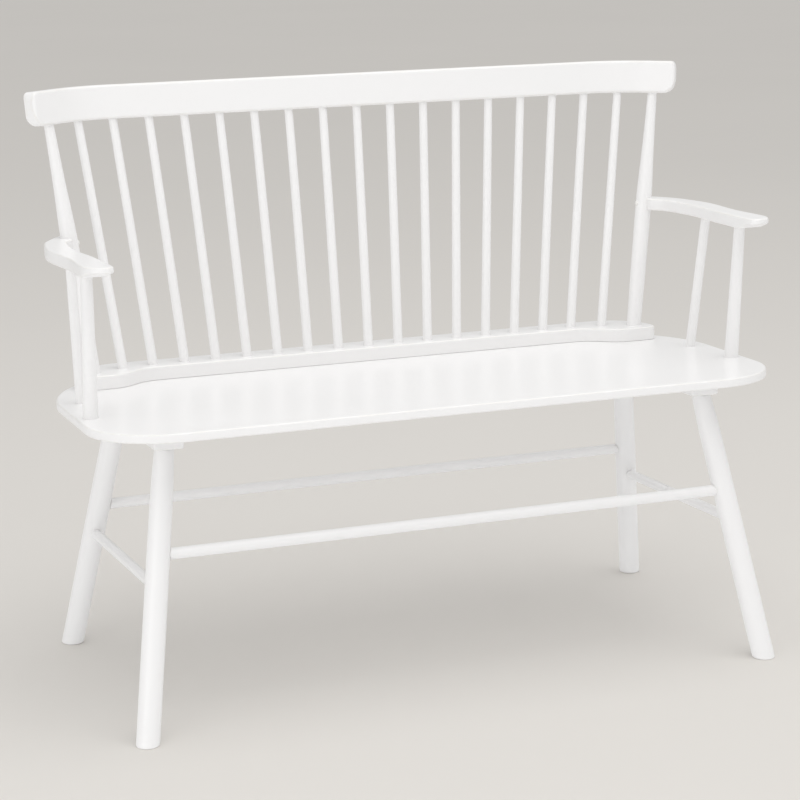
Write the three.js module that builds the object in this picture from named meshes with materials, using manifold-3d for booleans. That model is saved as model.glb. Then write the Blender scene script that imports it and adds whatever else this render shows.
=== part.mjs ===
// A painted spindle-back bench: a plank seat on four splayed legs, a back of turned spindles under
// a crest rail that bends forward at its ends, and two shaped arms on a post and a spindle each.
// Millimetres. The origin is on the floor in the middle of the four feet, +X runs to the right as
// seen from the front, +Y to the back and +Z up.
import * as THREE from "three";
import { mergeVertices, toCreasedNormals } from "three/addons/utils/BufferGeometryUtils.js";
import Module from "manifold-3d";

const wasm = await Module();
wasm.setup();

// Seat board. Its top falls to the back by a share of the depth.
const seatLength = 1108;
const seatDepth = 480;
const seatThickness = 14;
const seatEase = 3;
const seatFrontHeight = 462;
const seatFrontReach = 241.4;
const seatFallShare = 0.038;
const seatFrontCornerRadius = 119;
const seatBackCornerLength = 154;
const seatBackCornerDepth = 188;
const seatBackCornerSideShare = 0.37;
const seatBackCornerBackShare = 0.68;

// Every size below that is called an inset is measured inward from the seat's end or from its
// back edge, so what it places keeps its distance when the seat is made longer or deeper.

// Spindle rail on the back of the seat, with ends that come forward in a soft double curve
const railInset = 52;
const railHeight = 22.5;
const railDepth = 63.5;
const railEndDepth = 103;
const railEndLength = 49;
const railSweepLength = 90;
const railFrontCornerRadius = 15;
const railBackCornerShare = 0.96;
const railBackCornerRadius = (railEndDepth - railFrontCornerRadius) * railBackCornerShare;
const railEase = 3;

// Crest rail: a leaning board, straight in the middle, bent forward near both ends and straight
// again beyond the bends
const crestOverhang = 13.8;
const crestEndLength = 159.8;
const crestBendRadius = 178;
const crestBendDegrees = 35;
const crestHeight = 54;
const crestThickness = 24;
const crestEase = 4.5;
const crestLowerCornerRadius = 17;
const crestUpperCornerRadius = 10;
const crestMiddleHeight = 888;
const crestSetBack = 2.4;

// Back spindles
const spindleCount = 17;
const outerSpindleFootInset = 134;
const outerSpindleTopInset = 87.4;
const spindleFootBackInset = 40.8;
const outerSpindleFootBackInset = 52.8;
const spindleFootDiameter = 15.5;
const spindleTopDiameter = 13.5;

// End posts, which also carry the arms
const endPostFootInset = 81.3;
const endPostFootBackInset = 70.4;
const endPostTopInset = 35.2;
const endPostDiameter = 26;
const endPostWidthShares = [
  [0, 0.93],
  [0.3, 1],
  [0.57, 1],
  [0.72, 0.82],
  [0.85, 0.69],
  [1, 0.59],
];

// Arms. The plan is given in shares of the length forward and of the reach outward.
const armHeight = 239;
const armThickness = 19.5;
const armEase = 3;
const armLength = 386;
const armReach = 50;
const armHeel = 24;
const armNoseLength = 46;
const armNoseThickness = 8;
const armOutlineShares = [
  [0.035, 0.2],
  [0.107, 0.52],
  [0.178, 0.74],
  [0.345, 0.96],
  [0.464, 0.96],
  [0.566, 0.88],
  [0.691, 0.815],
  [0.871, 0.855],
  [0.936, 0.815],
  [0.978, 0.65],
  [1, 0.34],
  [0.99, 0.1],
  [0.94, 0.01],
  [0.671, 0.07],
  [0.533, 0.16],
  [0.385, 0.2],
  [0.247, 0.13],
  [0.168, 0.01],
];

// Front arm posts and the slim arm spindles behind them
const armPostFootInset = 21;
const armPostFootBack = -73.5;
const armPostTopInset = 19.7;
const armPostTopBack = -91.4;
const armPostFootDiameter = 23;
const armPostTopDiameter = 17.5;
const armSpindleFootInset = 34;
const armSpindleFootBack = 48;
const armSpindleTopInset = 21.3;
const armSpindleTopBack = 23.3;
const armSpindleFootDiameter = 16;
const armSpindleTopDiameter = 15.3;

// Legs. Their axes run from the floor to a point inside the seat board.
const legFootInset = 46.1;
const legFootBack = 249.1;
const legTopInset = 117.5;
const legTopBack = 138;
const legTopDepth = 11;
const legDiameter = 35.3;
const legTenonDiameter = 20;
const legWidthShares = [
  [0, 1],
  [0.45, 1],
  [0.7, 0.98],
  [0.83, 0.945],
  [0.9, 0.87],
  [0.95, 0.83],
];

// Stretchers: the long ones are level, the side ones fall to the back with the seat
const frontStretcherHeight = 266.7;
const backStretcherHeight = 247.2;
const sideStretcherFrontHeight = 220.7;
const sideStretcherBackHeight = 199.1;
const frontStretcherDiameter = 17.5;
const backStretcherDiameter = 16.8;
const sideStretcherDiameter = 16;
const stretcherTenonDiameter = 12;
const stretcherTenonLength = 15;

// Cleats under the seat ends
const cleatLength = 400;
const cleatWidth = 45;
const cleatThickness = 17.5;
const cleatEase = 3;
const cleatSetBack = 41.4;
const cleatInset = 119.5;

// Screws, their caps, and what the joints share
const screwHeadDiameter = 8;
const screwHeadHeight = 2.4;
const screwShankDiameter = 4;
const screwTipDiameter = 1;
const cleatScrewSpacing = 176;
const cleatScrewBite = 9;
const railScrewBite = 12;
const railScrewPitchShares = [-6.5, -3.5, -0.5, 0.5, 3.5, 6.5];
const armScrewBite = 12;
const counterboreDepth = 5;
const capDiameter = 9.5;
const capHeight = 2.4;
const capStemDiameter = 7;
const blindFloor = 3.5;
const crestSocketDepth = 20;
const clearance = 0.3;
const overrun = 40;

// Facets round a leg, the arms' cove, a post, a spindle and a screw, and steps round a corner, an
// eased edge and a stretch of an arm's outline
const legSides = 20;
const coveSides = 60;
const postSides = 16;
const spindleSides = 12;
const screwSides = 8;
const cornerSteps = 5;
const easeSteps = 2;
const armSteps = 2;

const turningAxis = new THREE.Vector3(0, 1, 0);
const world = new THREE.Matrix4();
const mergeDistance = 1e-4;
const creaseAngle = THREE.MathUtils.degToRad(38);
const quarterTurn = Math.PI / 2;
const sides = [["left", -1], ["right", 1]];

// The seat's own frame: its origin is the middle of the top's front edge, and it tips back.
const seatTilt = Math.atan(seatFallShare);
const seatHalf = seatLength / 2;
const seatBackReach = seatDepth * Math.cos(seatTilt) - seatFrontReach;
const seatPlane = new THREE.Matrix4()
  .makeRotationX(-seatTilt)
  .setPosition(0, -seatFrontReach, seatFrontHeight);

// The distance along the seat's frame of a level place front to back, at a height over the seat
function alongSeat(back, height) {
  return (back + seatFrontReach - height * Math.sin(seatTilt)) / Math.cos(seatTilt);
}

// A point at a height square to the seat's top
function overSeat(out, back, height) {
  return new THREE.Vector3(out, alongSeat(back, height), height).applyMatrix4(seatPlane);
}

// A closed geometry, moved into place, as a solid that can be cut and joined
function solid(geometry, placement) {
  const bare = new THREE.BufferGeometry();
  bare.setAttribute("position", geometry.getAttribute("position").clone());
  bare.setIndex(geometry.getIndex());
  bare.applyMatrix4(placement);
  const merged = mergeVertices(bare, mergeDistance);
  return new wasm.Manifold(
    new wasm.Mesh({
      numProp: 3,
      vertProperties: merged.getAttribute("position").array,
      triVerts: new Uint32Array(merged.getIndex().array),
    }),
  );
}

// The named mesh of a finished solid, with its geometry in its own frame
function mesh(name, body, placement, finish) {
  const found = body.getMesh();
  const geometry = new THREE.BufferGeometry();
  geometry.setAttribute("position", new THREE.BufferAttribute(found.vertProperties, found.numProp));
  geometry.setIndex(new THREE.BufferAttribute(found.triVerts, 1));
  geometry.applyMatrix4(placement.clone().invert());
  const piece = new THREE.Mesh(toCreasedNormals(geometry, creaseAngle), finish.clone());
  piece.name = name;
  piece.applyMatrix4(placement);
  return piece;
}

// Where a turned piece stands: its own +Y runs from one point towards the other
function between([from, to]) {
  const direction = to.clone().sub(from).normalize();
  const turn = new THREE.Quaternion().setFromUnitVectors(turningAxis, direction);
  return new THREE.Matrix4().compose(from, turn, new THREE.Vector3(1, 1, 1));
}

function lengthOf([from, to]) {
  return from.distanceTo(to);
}

// A turned solid from pairs of radius and distance along its axis, closed on the axis at both ends
function turned(profile, placement, facets = spindleSides) {
  const points = profile.map(([radius, along]) => new THREE.Vector2(radius, along));
  const start = new THREE.Vector2(0, points[0].y);
  const end = new THREE.Vector2(0, points[points.length - 1].y);
  return solid(new THREE.LatheGeometry([start, ...points, end], facets), placement);
}

// A round pin or bore of one radius along part of an axis
function round(radius, start, end, placement, facets = spindleSides) {
  return turned([[radius, start], [radius, end]], placement, facets);
}

// A turned profile from shares of a length and of a diameter
function profileOf(widthShares, length, diameter) {
  return widthShares.map(([along, width]) => [(width * diameter) / 2, along * length]);
}

// Everything between two heights of a frame, wider than the bench, for cutting pieces off flat
function slab(low, high, placement) {
  const width = seatLength + seatLength;
  const geometry = new THREE.BoxGeometry(width, width, high - low);
  geometry.translate(0, 0, (high + low) / 2);
  return solid(geometry, placement);
}

// A flat board from its outline, between two heights, with eased edges above and below
function board(outline, low, high, ease, steps, placement) {
  const geometry = new THREE.ExtrudeGeometry(outline, {
    depth: high - low - ease - ease,
    bevelThickness: ease,
    bevelSize: ease,
    bevelOffset: -ease,
    bevelSegments: easeSteps,
    curveSegments: steps,
  });
  geometry.translate(0, 0, low + ease);
  return solid(geometry, placement);
}

// Seat outline, anticlockwise from the left end of the straight front edge
function seatOutline() {
  const half = seatHalf;
  const radius = seatFrontCornerRadius;
  const front = half - radius;
  const cornerStart = seatDepth - seatBackCornerDepth;
  const backHalf = half - seatBackCornerLength;
  const sidePull = cornerStart + seatBackCornerDepth * seatBackCornerSideShare;
  const backPull = backHalf + seatBackCornerLength * seatBackCornerBackShare;
  const shape = new THREE.Shape();
  shape.moveTo(-front, 0);
  shape.lineTo(front, 0);
  shape.absarc(front, radius, radius, -quarterTurn, 0);
  shape.lineTo(half, cornerStart);
  shape.bezierCurveTo(half, sidePull, backPull, seatDepth, backHalf, seatDepth);
  shape.lineTo(-backHalf, seatDepth);
  shape.bezierCurveTo(-backPull, seatDepth, -half, sidePull, -half, cornerStart);
  shape.lineTo(-half, radius);
  shape.absarc(-front, radius, radius, Math.PI, Math.PI + quarterTurn);
  return shape;
}

// Spindle rail outline: its back is flush with the seat's back, and its ends come forward
function railOutline() {
  const half = seatHalf - railInset;
  const front = seatDepth - railDepth;
  const endFront = seatDepth - railEndDepth;
  const small = railFrontCornerRadius;
  const large = railBackCornerRadius;
  const sweepEnd = half - railEndLength;
  const sweepStart = sweepEnd - railSweepLength;
  const middle = (sweepStart + sweepEnd) / 2;
  const shape = new THREE.Shape();
  shape.moveTo(-sweepStart, front);
  shape.lineTo(sweepStart, front);
  shape.bezierCurveTo(middle, front, middle, endFront, sweepEnd, endFront);
  shape.lineTo(half - small, endFront);
  shape.absarc(half - small, endFront + small, small, -quarterTurn, 0);
  shape.absarc(half - large, seatDepth - large, large, 0, quarterTurn);
  shape.absarc(-half + large, seatDepth - large, large, quarterTurn, Math.PI);
  shape.absarc(-half + small, endFront + small, small, Math.PI, Math.PI + quarterTurn);
  shape.lineTo(-sweepEnd, endFront);
  shape.bezierCurveTo(-middle, endFront, -middle, front, -sweepStart, front);
  return shape;
}

// The back leans from the spindles' feet to the middle of the crest rail.
const spindleFootBack = seatBackReach - spindleFootBackInset;
const crestMiddleBack = seatBackReach + crestSetBack;
const middleFoot = overSeat(0, spindleFootBack, railHeight);
const backLean = Math.atan2(
  crestMiddleBack - middleFoot.y,
  crestMiddleHeight - middleFoot.z,
);

// The crest's middle line from its centre to one end: the straight, the bend, the straight end
const crestHalf = seatHalf + crestOverhang;
const crestStraightHalf = crestHalf - crestEndLength;
const crestBend = THREE.MathUtils.degToRad(crestBendDegrees);
const crestBendLength = crestBendRadius * crestBend;

// How far the crest's middle line has come forward at a distance out
function crestForward(out) {
  const past = Math.max(Math.abs(out) - crestStraightHalf, 0);
  const bent = Math.min(past, crestBendRadius * Math.sin(crestBend));
  const forward = crestBendRadius - Math.sqrt(crestBendRadius ** 2 - bent ** 2);
  return forward + (past - bent) * Math.tan(crestBend);
}

// The middle of the crest rail's underside at a distance out
function underCrest(out) {
  return new THREE.Vector3(
    out,
    crestMiddleBack - crestForward(out) - (crestHeight / 2) * Math.sin(backLean),
    crestMiddleHeight - (crestHeight / 2) * Math.cos(backLean),
  );
}

// Where each back spindle leaves the spindle rail and meets the crest rail, from left to right
const outerSpindle = (spindleCount - 1) / 2;
const spindleFootPitch = (seatHalf - outerSpindleFootInset) / outerSpindle;
const spindleTopPitch = (seatHalf - outerSpindleTopInset) / outerSpindle;
const spindleLines = Array.from({ length: spindleCount }, (_, index) => {
  const place = index - outerSpindle;
  const outer = Math.abs(place) === outerSpindle;
  const back = outer ? seatBackReach - outerSpindleFootBackInset : spindleFootBack;
  return [
    overSeat(place * spindleFootPitch, back, railHeight),
    underCrest(place * spindleTopPitch),
  ];
});

function endPostLine(side) {
  const footBack = seatBackReach - endPostFootBackInset;
  return [
    overSeat(side * (seatHalf - endPostFootInset), footBack, railHeight),
    underCrest(side * (seatHalf - endPostTopInset)),
  ];
}

function armPostLine(side) {
  const low = armHeight - armThickness;
  return [
    overSeat(side * (seatHalf - armPostFootInset), armPostFootBack, 0),
    overSeat(side * (seatHalf - armPostTopInset), armPostTopBack, low),
  ];
}

function armSpindleLine(side) {
  const low = armHeight - armThickness;
  return [
    overSeat(side * (seatHalf - armSpindleFootInset), armSpindleFootBack, 0),
    overSeat(side * (seatHalf - armSpindleTopInset), armSpindleTopBack, low),
  ];
}

// How deep a round tenon can go into a board of some thickness and stay blind
function blindDepth(thickness, [from, to]) {
  return (thickness - blindFloor) * to.clone().sub(from).normalize().z;
}

// A turned upright between two boards, whose ends run on into their sockets at full width
function upright(line, footDepth, topDepth, widthShares, diameter, facets = spindleSides) {
  const length = lengthOf(line);
  const profile = profileOf(widthShares, length, diameter);
  const foot = [profile[0][0], -footDepth];
  const top = [profile.at(-1)[0], length + topDepth];
  return turned([foot, ...profile, top], between(line), facets);
}

// The bores that an upright needs in the boards below and above it
function footSocket(line, depth, diameter, facets = spindleSides) {
  return round(diameter / 2 + clearance, -depth - clearance, overrun, between(line), facets);
}

function topSocket(line, depth, diameter, facets = spindleSides) {
  const length = lengthOf(line);
  const end = length + depth + clearance;
  return round(diameter / 2 + clearance, length - overrun, end, between(line), facets);
}

// A taper from one diameter at the foot to another at the top
function taper(footDiameter, topDiameter) {
  return [[0, 1], [1, topDiameter / footDiameter]];
}

const endPostFootDiameter = endPostDiameter * endPostWidthShares[0][1];
const endPostTopDiameter = endPostDiameter * endPostWidthShares.at(-1)[1];

function spindleSolid(line) {
  const shares = taper(spindleFootDiameter, spindleTopDiameter);
  const foot = blindDepth(railHeight, line);
  return upright(line, foot, crestSocketDepth, shares, spindleFootDiameter);
}

// A countersunk screw along its own +Y, from the flat of its head to its tip
function screwSolid(length, placement) {
  const shank = screwShankDiameter / 2;
  return turned(
    [
      [screwHeadDiameter / 2, 0],
      [shank, screwHeadHeight],
      [shank, length - screwHeadHeight],
      [screwTipDiameter / 2, length],
    ],
    placement,
    screwSides,
  );
}

// The hole for such a screw, open on the head's side and blind at its tip
function screwHole(length, placement) {
  const shank = screwShankDiameter / 2 + clearance;
  const head = screwHeadDiameter / 2 + clearance;
  return turned(
    [
      [head, -overrun],
      [head, clearance],
      [shank, screwHeadHeight + clearance],
      [shank, length + clearance],
    ],
    placement,
    screwSides,
  );
}

// Seat screws come up from below, square to the seat, with their heads just under flush.
const cleatTop = -seatThickness - clearance;
const cleatUnderside = cleatTop - cleatThickness;
const cleatScrewLength = cleatThickness + cleatScrewBite;
const railScrewLength = seatThickness + railScrewBite;

function screwUpFrom(out, back, height) {
  const head = overSeat(out, back, height + clearance);
  const ahead = new THREE.Vector3(0, 0, 1).transformDirection(seatPlane).add(head);
  return between([head, ahead]);
}

const cleatOut = seatHalf - cleatInset;
const cleatMiddle = (cleatSetBack + cleatLength / 2) * Math.cos(seatTilt) - seatFrontReach;
const cleatScrews = sides.flatMap(([, side]) =>
  [-1, 0, 1].map((place) =>
    screwUpFrom(side * cleatOut, cleatMiddle + place * cleatScrewSpacing, cleatUnderside),
  ),
);
const railScrews = railScrewPitchShares.map((place) =>
  screwUpFrom(place * spindleFootPitch, spindleFootBack, -seatThickness),
);

function withScrewHoles(body, length, placements) {
  return placements.reduce((cut, place) => cut.subtract(screwHole(length, place)), body);
}

// Each leg is named by its side, -1 left or 1 right, and its end, -1 front or 1 back.
function legLine([side, end]) {
  return [
    new THREE.Vector3(side * (seatHalf - legFootInset), end * legFootBack, 0),
    overSeat(side * (seatHalf - legTopInset), end * legTopBack, -legTopDepth),
  ];
}

function onLeg(leg, height) {
  const [foot, top] = legLine(leg);
  return foot.lerp(top, height / top.z);
}

const stretchers = {
  front: {
    legs: [[-1, -1], [1, -1]],
    heights: [frontStretcherHeight, frontStretcherHeight],
    diameter: frontStretcherDiameter,
  },
  back: {
    legs: [[-1, 1], [1, 1]],
    heights: [backStretcherHeight, backStretcherHeight],
    diameter: backStretcherDiameter,
  },
  left: {
    legs: [[-1, -1], [-1, 1]],
    heights: [sideStretcherFrontHeight, sideStretcherBackHeight],
    diameter: sideStretcherDiameter,
  },
  right: {
    legs: [[1, -1], [1, 1]],
    heights: [sideStretcherFrontHeight, sideStretcherBackHeight],
    diameter: sideStretcherDiameter,
  },
};

function stretcherLine({ legs, heights }) {
  return legs.map((leg, index) => onLeg(leg, heights[index]));
}

// The thin tenon that runs on from a stretcher into both legs, made wider for its sockets
function stretcherTenons(stretcher, gap) {
  const line = stretcherLine(stretcher);
  const start = legDiameter / 2 - stretcherTenonLength - gap;
  const radius = stretcherTenonDiameter / 2 + gap;
  return round(radius, start, lengthOf(line) - start, between(line));
}

// A stretcher butts on the round of each leg and goes on into it as its tenon.
function stretcherSolid(stretcher) {
  const line = stretcherLine(stretcher);
  const bare = round(stretcher.diameter / 2, 0, lengthOf(line), between(line));
  const coped = stretcher.legs.map(legLine).reduce((body, leg) => {
    const radius = legDiameter / 2 + clearance;
    return body.subtract(round(radius, 0, lengthOf(leg), between(leg), legSides));
  }, bare);
  return coped.add(stretcherTenons(stretcher, 0));
}

// A leg tapers softly to the cleat's underside and goes on through the cleat as a tenon.
function legSolid(leg) {
  const line = legLine(leg);
  const length = lengthOf(line);
  const placement = between(line);
  const profile = profileOf(legWidthShares, length, legDiameter);
  profile.unshift([profile[0][0], -overrun]);
  profile.push([profile.at(-1)[0], length + overrun]);
  const tenon = round(legTenonDiameter / 2, 0, length + overrun, placement, legSides);
  const body = turned(profile, placement, legSides)
    .subtract(slab(cleatUnderside - clearance, overrun + overrun, seatPlane))
    .add(tenon)
    .subtract(slab(cleatTop - clearance, overrun + overrun, seatPlane))
    .subtract(slab(-overrun - overrun, 0, world));
  return Object.values(stretchers)
    .filter(({ legs }) => legs.some((other) => other.join() === leg.join()))
    .reduce((cut, stretcher) => cut.subtract(stretcherTenons(stretcher, clearance)), body);
}

// A cleat is a batten with its lower long edges rounded, and two mortises right through it.
function cleatSolid(side) {
  const half = cleatWidth / 2;
  const ease = cleatEase;
  const shape = new THREE.Shape();
  shape.moveTo(half, cleatThickness);
  shape.lineTo(-half, cleatThickness);
  shape.absarc(-half + ease, ease, ease, Math.PI, Math.PI + quarterTurn);
  shape.absarc(half - ease, ease, ease, -quarterTurn, 0);
  const geometry = new THREE.ExtrudeGeometry(shape, {
    depth: cleatLength,
    bevelEnabled: false,
    curveSegments: easeSteps,
  });
  geometry.rotateX(quarterTurn);
  geometry.translate(side * cleatOut, cleatSetBack + cleatLength, cleatUnderside);
  const batten = [-1, 1].reduce((body, end) => {
    const line = legLine([side, end]);
    const reach = lengthOf(line) + overrun;
    const radius = legTenonDiameter / 2 + clearance;
    return body.subtract(round(radius, 0, reach, between(line), legSides));
  }, solid(geometry, seatPlane));
  return withScrewHoles(batten, cleatScrewLength, cleatScrews);
}

function seatSolid() {
  let seat = board(seatOutline(), -seatThickness, 0, seatEase, cornerSteps, seatPlane);
  for (const [, side] of sides) {
    const post = armPostLine(side);
    const spindle = armSpindleLine(side);
    const depth = blindDepth(seatThickness, post);
    seat = seat
      .subtract(footSocket(post, depth, armPostFootDiameter, postSides))
      .subtract(footSocket(spindle, blindDepth(seatThickness, spindle), armSpindleFootDiameter));
  }
  seat = withScrewHoles(seat, cleatScrewLength, cleatScrews);
  return withScrewHoles(seat, railScrewLength, railScrews);
}

// The spindle rail has eased edges above and sits flat on the seat.
function railSolid() {
  const low = clearance - railEase - railEase;
  let rail = board(railOutline(), low, railHeight, railEase, cornerSteps, seatPlane)
    .subtract(slab(low - overrun, clearance, seatPlane));
  for (const line of spindleLines) {
    rail = rail.subtract(footSocket(line, blindDepth(railHeight, line), spindleFootDiameter));
  }
  for (const [, side] of sides) {
    const line = endPostLine(side);
    const depth = blindDepth(railHeight, line);
    rail = rail.subtract(footSocket(line, depth, endPostFootDiameter, postSides));
  }
  return withScrewHoles(rail, railScrewLength, railScrews);
}

// How far a corner of some radius has fallen away at a distance in from the end
function cornerFall(radius, inward) {
  const left = Math.max(radius - inward, 0);
  return radius - Math.sqrt(radius ** 2 - left ** 2);
}

// The crest's section at a distance in from its end: a board with rounded long edges, which the
// rounded corners of its elevation and its eased end make smaller there
function crestSection(inward) {
  const inset = cornerFall(crestEase, inward);
  const deep = crestThickness / 2 - inset;
  const low = -crestHeight / 2 + cornerFall(crestLowerCornerRadius, inward) + inset;
  const high = crestHeight / 2 - cornerFall(crestUpperCornerRadius, inward) - inset;
  const corners = [[deep, high], [-deep, high], [-deep, low], [deep, low]];
  return corners.flatMap(([back, height], index) =>
    Array.from({ length: easeSteps + 1 }, (_, step) => {
      const angle = (index + step / easeSteps) * quarterTurn;
      return new THREE.Vector2(
        back - Math.sign(back) * crestEase + crestEase * Math.cos(angle),
        height - (index < 2 ? 1 : -1) * crestEase + crestEase * Math.sin(angle),
      );
    }),
  );
}

// A section's place on the bent board, from its distance along the board's middle line
function crestStation(along) {
  const side = Math.sign(along);
  const past = Math.max(Math.abs(along) - crestStraightHalf, 0);
  const bent = Math.min(past, crestBendLength);
  const turn = bent / crestBendRadius;
  const beyond = crestBendRadius * Math.sin(turn) + (past - bent) * Math.cos(turn);
  const out = Math.abs(along) - past + beyond;
  const middle = new THREE.Vector3(
    side * out,
    crestMiddleBack - crestForward(out),
    crestMiddleHeight,
  );
  const backward = new THREE.Vector3(side * Math.sin(turn), Math.cos(turn), 0);
  const upward = new THREE.Vector3(0, 0, 1);
  return crestSection(crestHalf - Math.abs(along)).map((point) =>
    middle
      .clone()
      .addScaledVector(backward, point.x * Math.cos(backLean) + point.y * Math.sin(backLean))
      .addScaledVector(upward, point.y * Math.cos(backLean) - point.x * Math.sin(backLean)),
  );
}

// Distances along the crest at which it is given a section: close together on its rounded ends,
// and evenly spaced round its bends
function crestStops() {
  const arc = (radius, steps) =>
    Array.from({ length: steps }, (_, step) => {
      return crestHalf - radius * (1 - Math.cos((step / steps) * quarterTurn));
    });
  const bend = Array.from({ length: cornerSteps + 1 }, (_, step) => {
    return crestStraightHalf + (crestBendLength * step) / cornerSteps;
  });
  const rounded = crestHalf - crestEase;
  const fine = arc(crestEase, easeSteps + 1);
  const coarse = arc(crestLowerCornerRadius, cornerSteps).filter((stop) => stop < rounded);
  const wing = crestHalf - crestLowerCornerRadius;
  const bends = bend.reverse().filter((stop) => stop < wing);
  const right = [...fine, rounded, ...coarse, wing, ...bends];
  return [...right.map((stop) => -stop), ...right.reverse()];
}

// A closed skin over rings of points, with a flat cap on the first and the last
function loft(rings) {
  const count = rings[0].length;
  const cap = THREE.ShapeUtils.triangulateShape(crestSection(0), []);
  const skin = rings.slice(1).flatMap((_, ring) =>
    Array.from({ length: count }, (__, point) => {
      const next = (point + 1) % count;
      const here = ring * count;
      const there = here + count;
      return [
        here + point, there + next, there + point,
        here + point, here + next, there + next,
      ];
    }).flat(),
  );
  const lastRing = (rings.length - 1) * count;
  const geometry = new THREE.BufferGeometry().setFromPoints(rings.flat());
  geometry.setIndex([
    ...cap.flatMap(([a, b, c]) => [c, b, a]),
    ...skin,
    ...cap.flatMap(([a, b, c]) => [lastRing + a, lastRing + b, lastRing + c]),
  ]);
  return geometry;
}

function crestSolid() {
  let crest = solid(loft(crestStops().map(crestStation)), world);
  for (const line of spindleLines) {
    crest = crest.subtract(topSocket(line, crestSocketDepth, spindleTopDiameter));
  }
  for (const [, side] of sides) {
    const line = endPostLine(side);
    crest = crest.subtract(topSocket(line, crestSocketDepth, endPostTopDiameter, postSides));
  }
  return crest;
}

// The end post's axis at the middle of the arm's thickness, where the arm butts on it
function armRoot(side) {
  const [foot, top] = endPostLine(side);
  const level = overSeat(0, foot.y, armHeight - armThickness / 2).z;
  return foot.clone().lerp(top, (level - foot.z) / (top.z - foot.z));
}

// An arm's plan, from its heel behind the end post out and forward to its nose and back inside.
// It laps the outer half of the post.
function armOutline(side) {
  const root = armRoot(side);
  const out = Math.abs(root.x) + endPostDiameter / 2;
  const heel = alongSeat(root.y, armHeight) + armHeel;
  const place = (forward, reach) => {
    return new THREE.Vector2(side * (out + reach * armReach), heel - forward * armLength);
  };
  const curve = armOutlineShares.map(([forward, reach]) => place(forward, reach));
  const shape = new THREE.Shape();
  shape.moveTo(root.x, heel - armHeel - armHeel);
  shape.lineTo(root.x, heel);
  shape.lineTo(side * out, heel);
  shape.splineThru(curve);
  return shape;
}

// The cove under the nose is part of a cylinder across the arm, highest under the tip.
function noseCove(side) {
  const rise = armThickness - armNoseThickness;
  const radius = (armNoseLength ** 2 + rise ** 2) / (rise + rise);
  const root = armRoot(side);
  const tip = alongSeat(root.y, armHeight) + armHeel - armLength;
  const middle = new THREE.Vector3(0, tip, armHeight - armNoseThickness - radius);
  const across = new THREE.Vector3(side * seatLength, tip, middle.z);
  const line = [middle, across].map((point) => point.applyMatrix4(seatPlane));
  return round(radius, 0, lengthOf(line), between(line), coveSides);
}

// The screw through the end post into the arm's heel runs straight out, with its head sunk in.
function armScrewLine(side) {
  const root = armRoot(side);
  const start = root.clone();
  start.x -= side * (endPostDiameter / 2 - counterboreDepth);
  return [start, root];
}
const armScrewLength = endPostDiameter - counterboreDepth + armScrewBite;

function endPostSolid(side) {
  const line = endPostLine(side);
  const foot = blindDepth(railHeight, line);
  return upright(line, foot, crestSocketDepth, endPostWidthShares, endPostDiameter, postSides)
    .subtract(screwHole(armScrewLength, between(armScrewLine(side))));
}

// An end post made a little wider, for what is coped against it
function endPostCope(side) {
  const line = endPostLine(side);
  return round(endPostDiameter / 2 + clearance, 0, lengthOf(line), between(line), postSides);
}

function armSolid(side) {
  const post = armPostLine(side);
  const spindle = armSpindleLine(side);
  const low = armHeight - armThickness;
  const depth = blindDepth(armThickness, post);
  return board(armOutline(side), low, armHeight, armEase, armSteps, seatPlane)
    .subtract(noseCove(side))
    .subtract(topSocket(post, depth, armPostTopDiameter, postSides))
    .subtract(topSocket(spindle, blindDepth(armThickness, spindle), armSpindleTopDiameter))
    .subtract(screwHole(armScrewLength, between(armScrewLine(side))))
    .subtract(endPostCope(side));
}

function armPostSolid(side) {
  const line = armPostLine(side);
  const shares = taper(armPostFootDiameter, armPostTopDiameter);
  const foot = blindDepth(seatThickness, line);
  const top = blindDepth(armThickness, line);
  return upright(line, foot, top, shares, armPostFootDiameter, postSides);
}

function armSpindleSolid(side) {
  const line = armSpindleLine(side);
  const shares = taper(armSpindleFootDiameter, armSpindleTopDiameter);
  const foot = blindDepth(seatThickness, line);
  return upright(line, foot, blindDepth(armThickness, line), shares, armSpindleFootDiameter);
}

// A button cap plugs the counterbore, and the rim of its dome is coped to the post.
function capSolid(side) {
  const [head] = armScrewLine(side);
  const inner = head.clone();
  inner.x -= side * counterboreDepth;
  const placement = between([head, inner]);
  const radius = capDiameter / 2;
  const steps = easeSteps + easeSteps;
  const dome = Array.from({ length: steps }, (_, step) => {
    const angle = (step / steps) * quarterTurn;
    return [radius * Math.cos(angle), counterboreDepth + capHeight * Math.sin(angle)];
  });
  const top = turned([[radius, 0], ...dome], placement).subtract(endPostCope(side));
  const stem = capStemDiameter / 2;
  return top.add(round(stem, clearance, counterboreDepth + capHeight / 2, placement));
}

const paint = new THREE.MeshStandardMaterial({ color: 0xefede8, roughness: 0.35, metalness: 0 });
const steel = new THREE.MeshStandardMaterial({ color: 0xb4b6b8, roughness: 0.4, metalness: 1 });

// Pieces that lie along the seat keep the seat's frame, shifted to their own height.
function seatFrameAt(height) {
  return seatPlane.clone().multiply(new THREE.Matrix4().makeTranslation(0, 0, height));
}

function base() {
  const group = new THREE.Group();
  for (const [sideName, side] of sides) {
    for (const [endName, end] of [["front", -1], ["back", 1]]) {
      const leg = [side, end];
      const name = `leg_${endName}_${sideName}`;
      group.add(mesh(name, legSolid(leg), between(legLine(leg)), paint));
    }
  }
  for (const [name, stretcher] of Object.entries(stretchers)) {
    const placement = between(stretcherLine(stretcher));
    group.add(mesh(`stretcher_${name}`, stretcherSolid(stretcher), placement, paint));
  }
  return group;
}

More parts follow.
